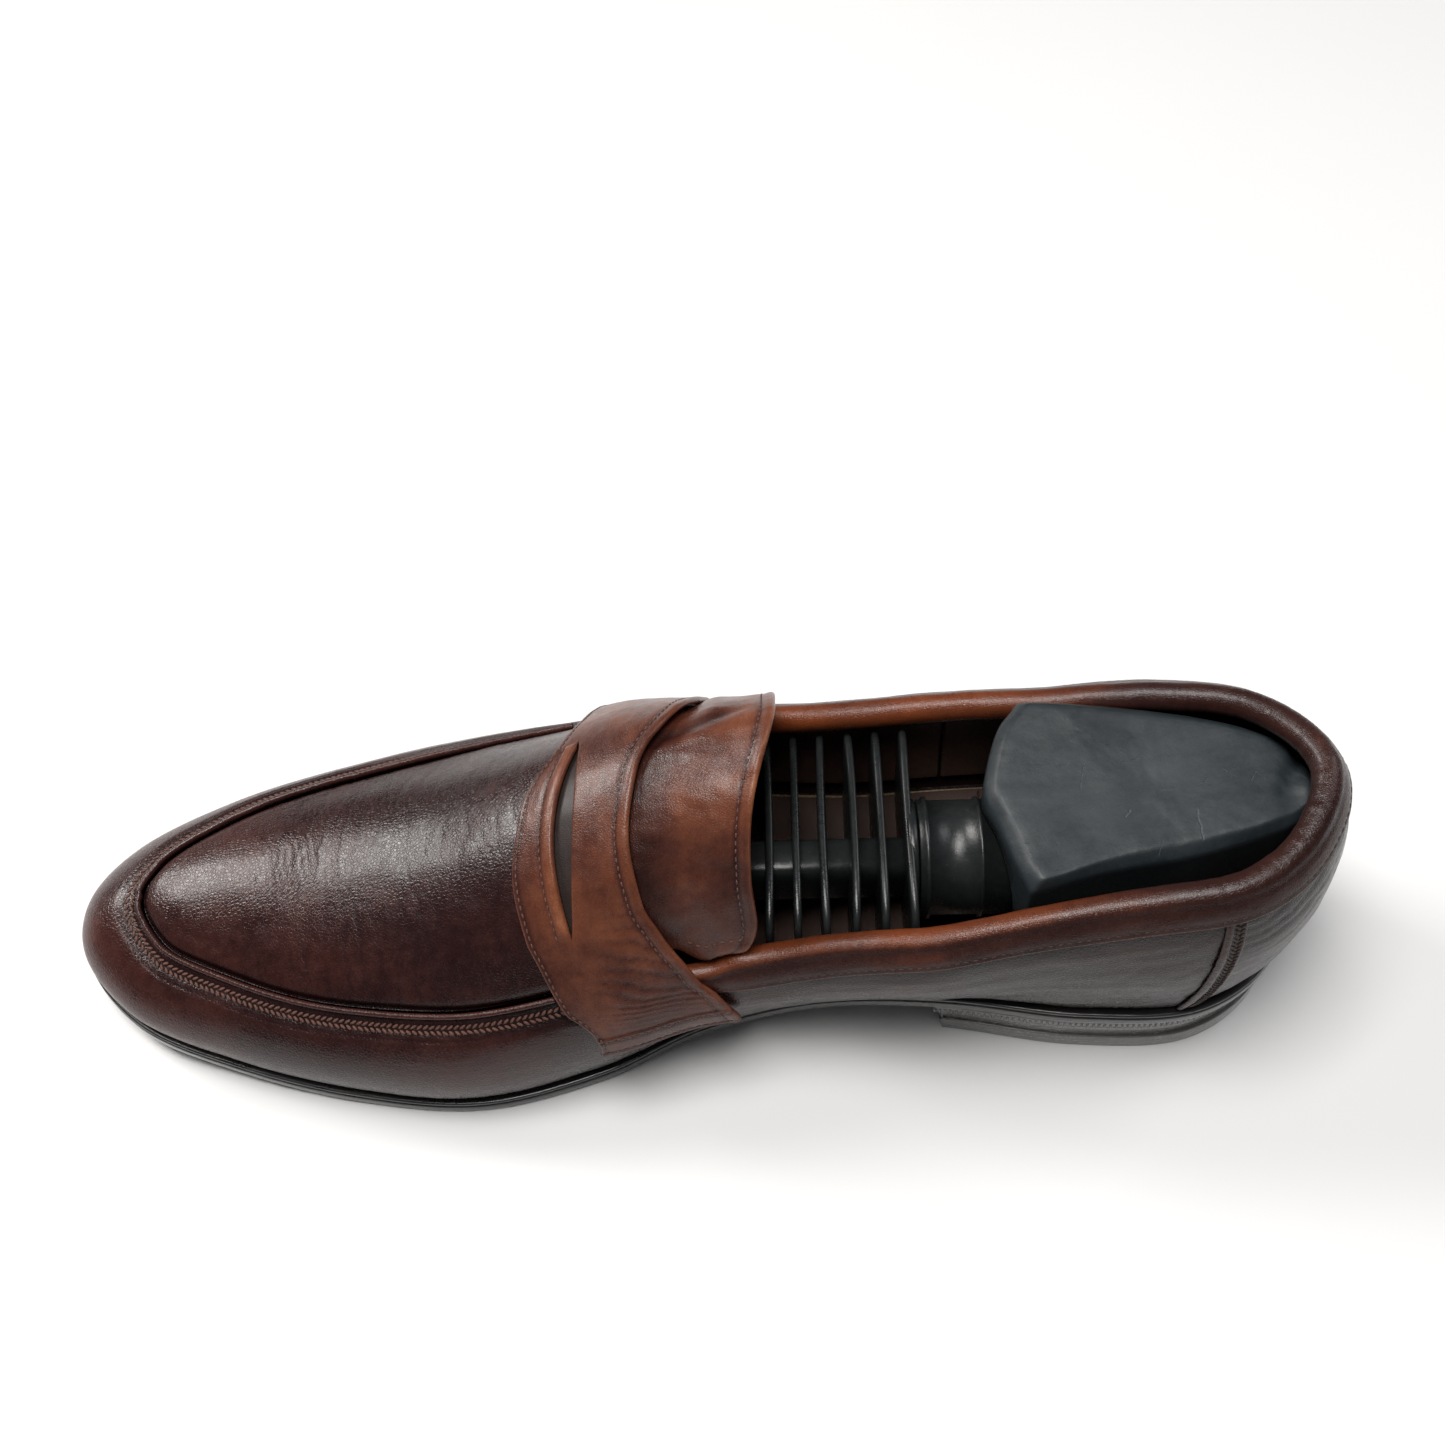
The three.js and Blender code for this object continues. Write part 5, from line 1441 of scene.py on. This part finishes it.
# ------------------------------------------------------------------ linings
def linings():
    def plain(base, _):
        return 0.08 * rough(base, 9, 2), 0.2 * rough(base, 18, 5)

    def top(s):
        return np.minimum(0.93, below(s, ROLL_DROP + 1.5))
    foot = 1 / 7
    spans = {
        "vamp_lining": (VAMP_JOIN[0], VAMP_JOIN[1], fixed(6 / 7), 320),
        "quarter_lining_medial": (LINING_JOIN[0], VAMP_JOIN[0], top, 88),
        "quarter_lining_lateral": (VAMP_JOIN[1], LINING_JOIN[1], top, 88),
        "heel_lining": (LINING_JOIN[1] - 1, LINING_JOIN[0], top, 190),
    }
    for name, (first, last, end, length) in spans.items():
        face = wall_face(fixed(first + HAIR), fixed(last - HAIR), foot, end)
        panel = Panel(name + "_kid", face, (length, 40), LINING, plain, 1.6, 0.45)
        finish_piece(panel.obj, "shoe", "lining", KID, name)

    def plug_face(u, v):
        point = over_instep(mix(TIP + 5, TONGUE_ROOT - 0.6, u), mix(-0.92, 0.92, v))
        return point, (point[..., 0], point[..., 1]), None
    panel = Panel("plug_lining_kid", plug_face, (105, 52), PLUG_LINING, plain, 1.6, 0.45)
    finish_piece(panel.obj, "shoe", "lining", KID, "plug_lining")


# ------------------------------------------------------------------ shoe tree
def oval(x, middle, half, roundness, count=96):
    """Ring across the tree's axis, round at 1 and boxier below it."""
    a = np.linspace(0, 2 * math.pi, count, endpoint=False)
    c, s = np.cos(a), np.sin(a)
    return np.stack([np.full(count, x), middle[0] + half[0] * np.sign(c) * np.abs(c) ** roundness,
                     middle[1] + half[1] * np.sign(s) * np.abs(s) ** roundness], -1)


def tree_form():
    """Toe form: last-shaped body, spine and fins in one moulding."""
    x = np.linspace(-126, -9, 60)
    levels = np.linspace(0.3, 0.8, 9)
    tops = np.linspace(-0.8, 0.8, 21)
    columns = [wall_column(x, -1, t, FORM_CLEARANCE) for t in levels]
    columns += [over_column(x, v, FORM_CLEARANCE) for v in tops]
    columns += [wall_column(x, 1, t, FORM_CLEARANCE) for t in levels[::-1]]
    left, right = columns[0], columns[-1]
    floor = sole_z(x) + 10.4
    for k in np.linspace(0.95, 0.05, 11):
        line = mix(left, right, k)
        line[:, 2] = floor
        columns.append(line)
    rings = np.stack(columns, 1)
    rings[..., 0] = x[:, None]
    rings[..., 2] = np.maximum(rings[..., 2], floor[:, None])
    centre = np.array([x[0], 0.0, floor[0] + 6])
    nose = []
    for k in np.linspace(0.0, 1, 8)[:-1]:
        grow = math.sqrt(1 - (1 - max(k, 0.02)) ** 2)
        ring = centre + (rings[0] - centre) * grow
        ring[:, 0] = mix(-133, -126, k)
        nose.append(ring)
    body = loft("tree_form_body", np.concatenate([nose, rings]))
    parts = [body]
    y, z = TREE_Y + 1, 36
    spine_x = [-12, -12, -11.4, 51.4, 52, 52]
    grow = [0.02, 0.85, 1, 1, 0.85, 0.02]
    parts.append(loft("tree_spine", np.stack([
        oval(x, (y, z), (5.2 * g, 7.4 * g), 0.5, 48) for x, g in zip(spine_x, grow)])))
    edge = [(-0.9, 0.02), (-0.9, 0.5), (-0.9, 0.95), (-0.82, 0.98), (-0.5, 0.996), (0, 1),
            (0.5, 0.996), (0.82, 0.98), (0.9, 0.95), (0.9, 0.5), (0.9, 0.02)]
    for k in range(FIN_COUNT):
        x0 = FIN_FIRST + FIN_PITCH * k
        middle, half = (6.2 - 0.64 * k, 34 + 0.96 * k), (FIN_HALF, 13 + 0.64 * k)
        rings = np.stack([oval(x0 + dx, middle, (half[0] * g, half[1] * g), 0.45)
                          for dx, g in edge])
        bow = 0.5 * np.sin(k * 2.1 + 1) * (1 - ((rings[..., 1] - middle[0]) / half[0]) ** 2)
        rings[..., 0] += bow * step(rings[..., 2], 40, 48)
        parts.append(loft("tree_fin", rings))
    hub = [(49.8, 0.02), (49.8, 0.96), (50.2, 1), (51.7, 1), (52.1, 0.96), (52.1, 0.02)]
    parts.append(loft("tree_hub", np.stack([
        oval(x, (TREE_Y, TREE_Z), (13.5 * g, 13.5 * g), 1, 64) for x, g in hub])))
    obj = joined("tree_form_moulding", parts)
    finish_piece(obj, "shoe", "tree_plastic", BLACK_PLASTIC, "tree_toe_form")


def wall_column(x, side, t, offset):
    """Inner form surface at constant x, a clearance inside the side wall."""
    s = np.linspace(0 if side < 0 else 1, TOE, 900)
    line = wall(s, t, -offset)
    order = np.argsort(line[:, 0])
    return np.stack([x, np.interp(x, line[order, 0], line[order, 1]),
                     np.interp(x, line[order, 0], line[order, 2])], -1)


def over_column(x, v, offset):
    base = over_instep(x, v)
    along = over_instep(x + 0.5, v) - base
    across = over_instep(x, v + 0.01) - over_instep(x, v - 0.01)
    out = np.cross(along, across)
    return base - offset * out / np.linalg.norm(out, axis=-1, keepdims=True)


def joined(name, parts):
    """One object from several closed meshes."""
    work = bmesh.new()
    for part in parts:
        work.from_mesh(part.data)
        bpy.data.objects.remove(part)
    mesh = bpy.data.meshes.new(name)
    work.to_mesh(mesh)
    work.free()
    mesh.shade_smooth()
    return placed(name, mesh)


def tree_neck():
    """Sleeve between form and heel block, with two thin flanges; open towards the spring."""
    outer = [(52.4, 12.9), (52.6, 13.3), (53.6, 13.3), (53.7, 13.9), (54.6, 13.9), (54.7, 13.1),
             (65.6, 13.1), (65.7, 13.7), (66.4, 13.7), (66.5, 13.1), (79.6, 13.1), (80, 12.8),
             (80, 10.2), (79.7, 10.0), (56.6, 10.0), (56.4, 9.5), (56.4, 0.2), (52.4, 0.2)]
    rings = np.stack([oval(x, (TREE_Y, TREE_Z), (r, r), 1, 72) for x, r in outer])
    obj = loft("tree_neck_sleeve", rings, closed=True)
    finish_piece(obj, "shoe", "tree_plastic", BLACK_PLASTIC, "tree_neck")


def tree_spring():
    """Coil between neck and heel block."""
    u = np.linspace(0, 1, 253)
    turn = 2 * SPRING_TURNS * math.pi * u
    round_axis = np.stack([0 * u, np.cos(turn), np.sin(turn)], -1)
    axis = np.stack([mix(SPRING_FROM, SPRING_TO, u), TREE_Y + 0 * u, TREE_Z + 0 * u], -1)
    level = np.broadcast_to([1.0, 0, 0], axis.shape)
    coil = tube("tree_spring_coil", SPRING_RADIUS * round_axis + axis, round_axis, level,
                (WIRE_RADIUS, WIRE_RADIUS), 8)
    coil.data.materials.append(STEEL)
    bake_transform(coil)
    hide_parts("tree_spring")


def tree_block():
    """Heel block: bevelled top face with a scuffed tip, sides that draw in to its foot."""
    count = 260
    outline, _ = closed_curve(BLOCK_TOP, count)
    outline = outline[:-1]
    centre = np.array([104.0, 3.0])
    arm = outline - centre
    length = np.linalg.norm(arm, axis=1)[:, None]
    arm = arm / length
    profile = [(0.0, 0.02, 0), (0.0, 0.6, 0), (0.0, 0.795, 0), (0.02, 0.82, 0), (0.12, 0.9, 0),
               (0.35, 1, 0), (0.6, 1, 0), (0.88, 1, 0), (0.925, 1, 0.12), (0.94, 1, 0.45),
               (0.955, 1, 0.95), (0.97, 1, 1.5), (0.985, 1, 2.1), (0.996, 1, 2.7), (1.0, 1, 3.4)]

    def level(flat):
        return BLOCK_HEAD + 0.1 * (flat[:, 1] - 2)
    rings = []
    for height, scale, inset in profile:
        flat = centre + arm * (length * scale - inset)
        rings.append(np.stack([flat[:, 0], flat[:, 1], mix(BLOCK_FOOT, level(flat), height)], -1))
    bevel = profile[-1][2]
    for k in np.linspace(0, 1, 16)[1:]:
        flat = centre + arm * (length - bevel) * max(1 - k, 0.004)
        rings.append(np.stack([flat[:, 0], flat[:, 1], level(flat)], -1))
    rings = np.stack(rings)
    x, y, z = rings[..., 0], rings[..., 1], rings[..., 2]
    upper = step(z, 58, 60.5)
    z += upper * (-0.5 * bell(x, 104, 16) * bell(y, 2, 11) + 0.6 * bell(np.hypot(
        x - 76, y + 17), 0, 4) - 1.6 * bell(x - 0.3 * y, 132.5, 1.6) * bell(y, 5, 6)
        + 0.9 * bell(x, 136, 2.2) * bell(y, 2.5, 3) + 0.16 * rough(rings, 7, 3)
        + 0.3 * rough(rings, 19, 9))
    obj = loft("tree_block_shell", rings)
    bore = loft("bore", np.stack([
        oval(x, (TREE_Y, TREE_Z), (r, r), 1, 64)
        for x, r in ((58, 0.02), (58, 14.2), (93.9, 14.2), (93.9, 0.02))]))
    cut = obj.modifiers.new("bore", "BOOLEAN")
    cut.object, cut.solver = bore, "EXACT"
    view = bpy.context.evaluated_depsgraph_get()
    mesh = bpy.data.meshes.new_from_object(obj.evaluated_get(view))
    obj.modifiers.remove(cut)
    obj.data = mesh
    bpy.data.objects.remove(bore)
    finish_piece(obj, "tree_heel", "tree_plastic", CHARCOAL, "tree_heel_block")


# ------------------------------------------------------------------ parts that stay as packed
def dress_packed_parts():
    """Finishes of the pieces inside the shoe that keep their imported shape."""
    finishes = {"insole_board": BOARD, "toe_puff": BOARD, "counter_stiffener": BOARD,
                "cork_filler": CORK, "shank": STEEL, "tree_plunger": STEEL}
    finishes.update({f"heel_nail_{k}": STEEL for k in range(1, 6)})
    for name, material in finishes.items():
        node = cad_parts[name]
        node.data.materials.clear()
        node.data.materials.append(material)


# ------------------------------------------------------------------ studio
def studio():
    """Pale floor and three soft lamps; the background looks brighter than it lights."""
    bpy.ops.mesh.primitive_plane_add(size=1.5, location=(0, 0.05, 0))
    floor = bpy.context.object
    floor.name = "studio_floor"
    floor.data.materials.append(FLOOR)
    world = bpy.context.scene.world or bpy.data.worlds.new("studio")
    bpy.context.scene.world = world
    world.use_nodes = True
    sky = world.node_tree.nodes["Background"]
    sky.inputs["Color"].default_value = (0.95, 0.97, 1.0, 1)
    seen = world.node_tree.nodes.new("ShaderNodeLightPath").outputs["Is Camera Ray"]
    level = world.node_tree.nodes.new("ShaderNodeMapRange")
    level.inputs["To Min"].default_value, level.inputs["To Max"].default_value = 0.1, 0.85
    world.node_tree.links.new(seen, level.inputs["Value"])
    world.node_tree.links.new(level.outputs[0], sky.inputs["Strength"])

    def lamp(name, place, target, size, power, colour):
        light = bpy.data.lights.new(name, "AREA")
        light.shape, light.size, light.size_y = "RECTANGLE", size[0], size[1]
        light.energy, light.color = power, colour
        obj = bpy.data.objects.new(name, light)
        bpy.context.scene.collection.objects.link(obj)
        aim = Vector(target) - Vector(place)
        obj.matrix_world = (Matrix.Translation(place)
                            @ aim.to_track_quat("-Z", "Y").to_matrix().to_4x4())
    lamp("top_softbox", (-0.1, -0.08, 1.2), (0, 0, 0.03), (0.7, 0.45), 15, (1, 0.98, 0.96))
    lamp("toe_softbox", (-1.1, 0.6, 1.0), (-0.1, 0, 0.04), (0.45, 0.45), 15, (1, 0.97, 0.94))
    lamp("rear_strip", (0.7, 0.35, 0.7), (0.05, 0, 0.04), (0.3, 0.4), 1.6, (0.96, 0.98, 1))


def camera():
    """Long view from above the inner side of the shoe, slightly rolled."""
    yaw, pitch, roll = map(math.radians, (3.81, 55.68, -4.70))
    ahead = Vector((-math.sin(yaw) * math.cos(pitch), math.cos(yaw) * math.cos(pitch),
                    -math.sin(pitch)))
    right = ahead.cross(Vector((0, 0, 1))).normalized()
    up = right.cross(ahead)
    turned = right * math.cos(roll) + up * math.sin(roll)
    up = up * math.cos(roll) - right * math.sin(roll)
    data = bpy.data.cameras.new("camera")
    data.sensor_width, data.lens = 36, 41.56
    data.clip_start = 0.01
    obj = bpy.data.objects.new("camera", data)
    bpy.context.scene.collection.objects.link(obj)
    turn = Matrix((turned, up, -ahead)).transposed().to_4x4()
    obj.matrix_world = Matrix.Translation((0.0251, -0.1924, 0.3760)) @ turn
    bpy.context.scene.camera = obj


def build():
    outsole()
    rand_strip()
    heel()
    footbed()
    wall_panel = vamp()
    seam_braid(wall_panel)
    apron()
    piping()
    quarters()
    counter_strips()
    collar()
    strap()
    slit_patch()
    tongue()
    linings()
    tree_form()
    tree_neck()
    tree_spring()
    tree_block()
    dress_packed_parts()


camera()
studio()
build()
bpy.context.scene.view_settings.view_transform = "Standard"
bpy.context.view_layer.update()
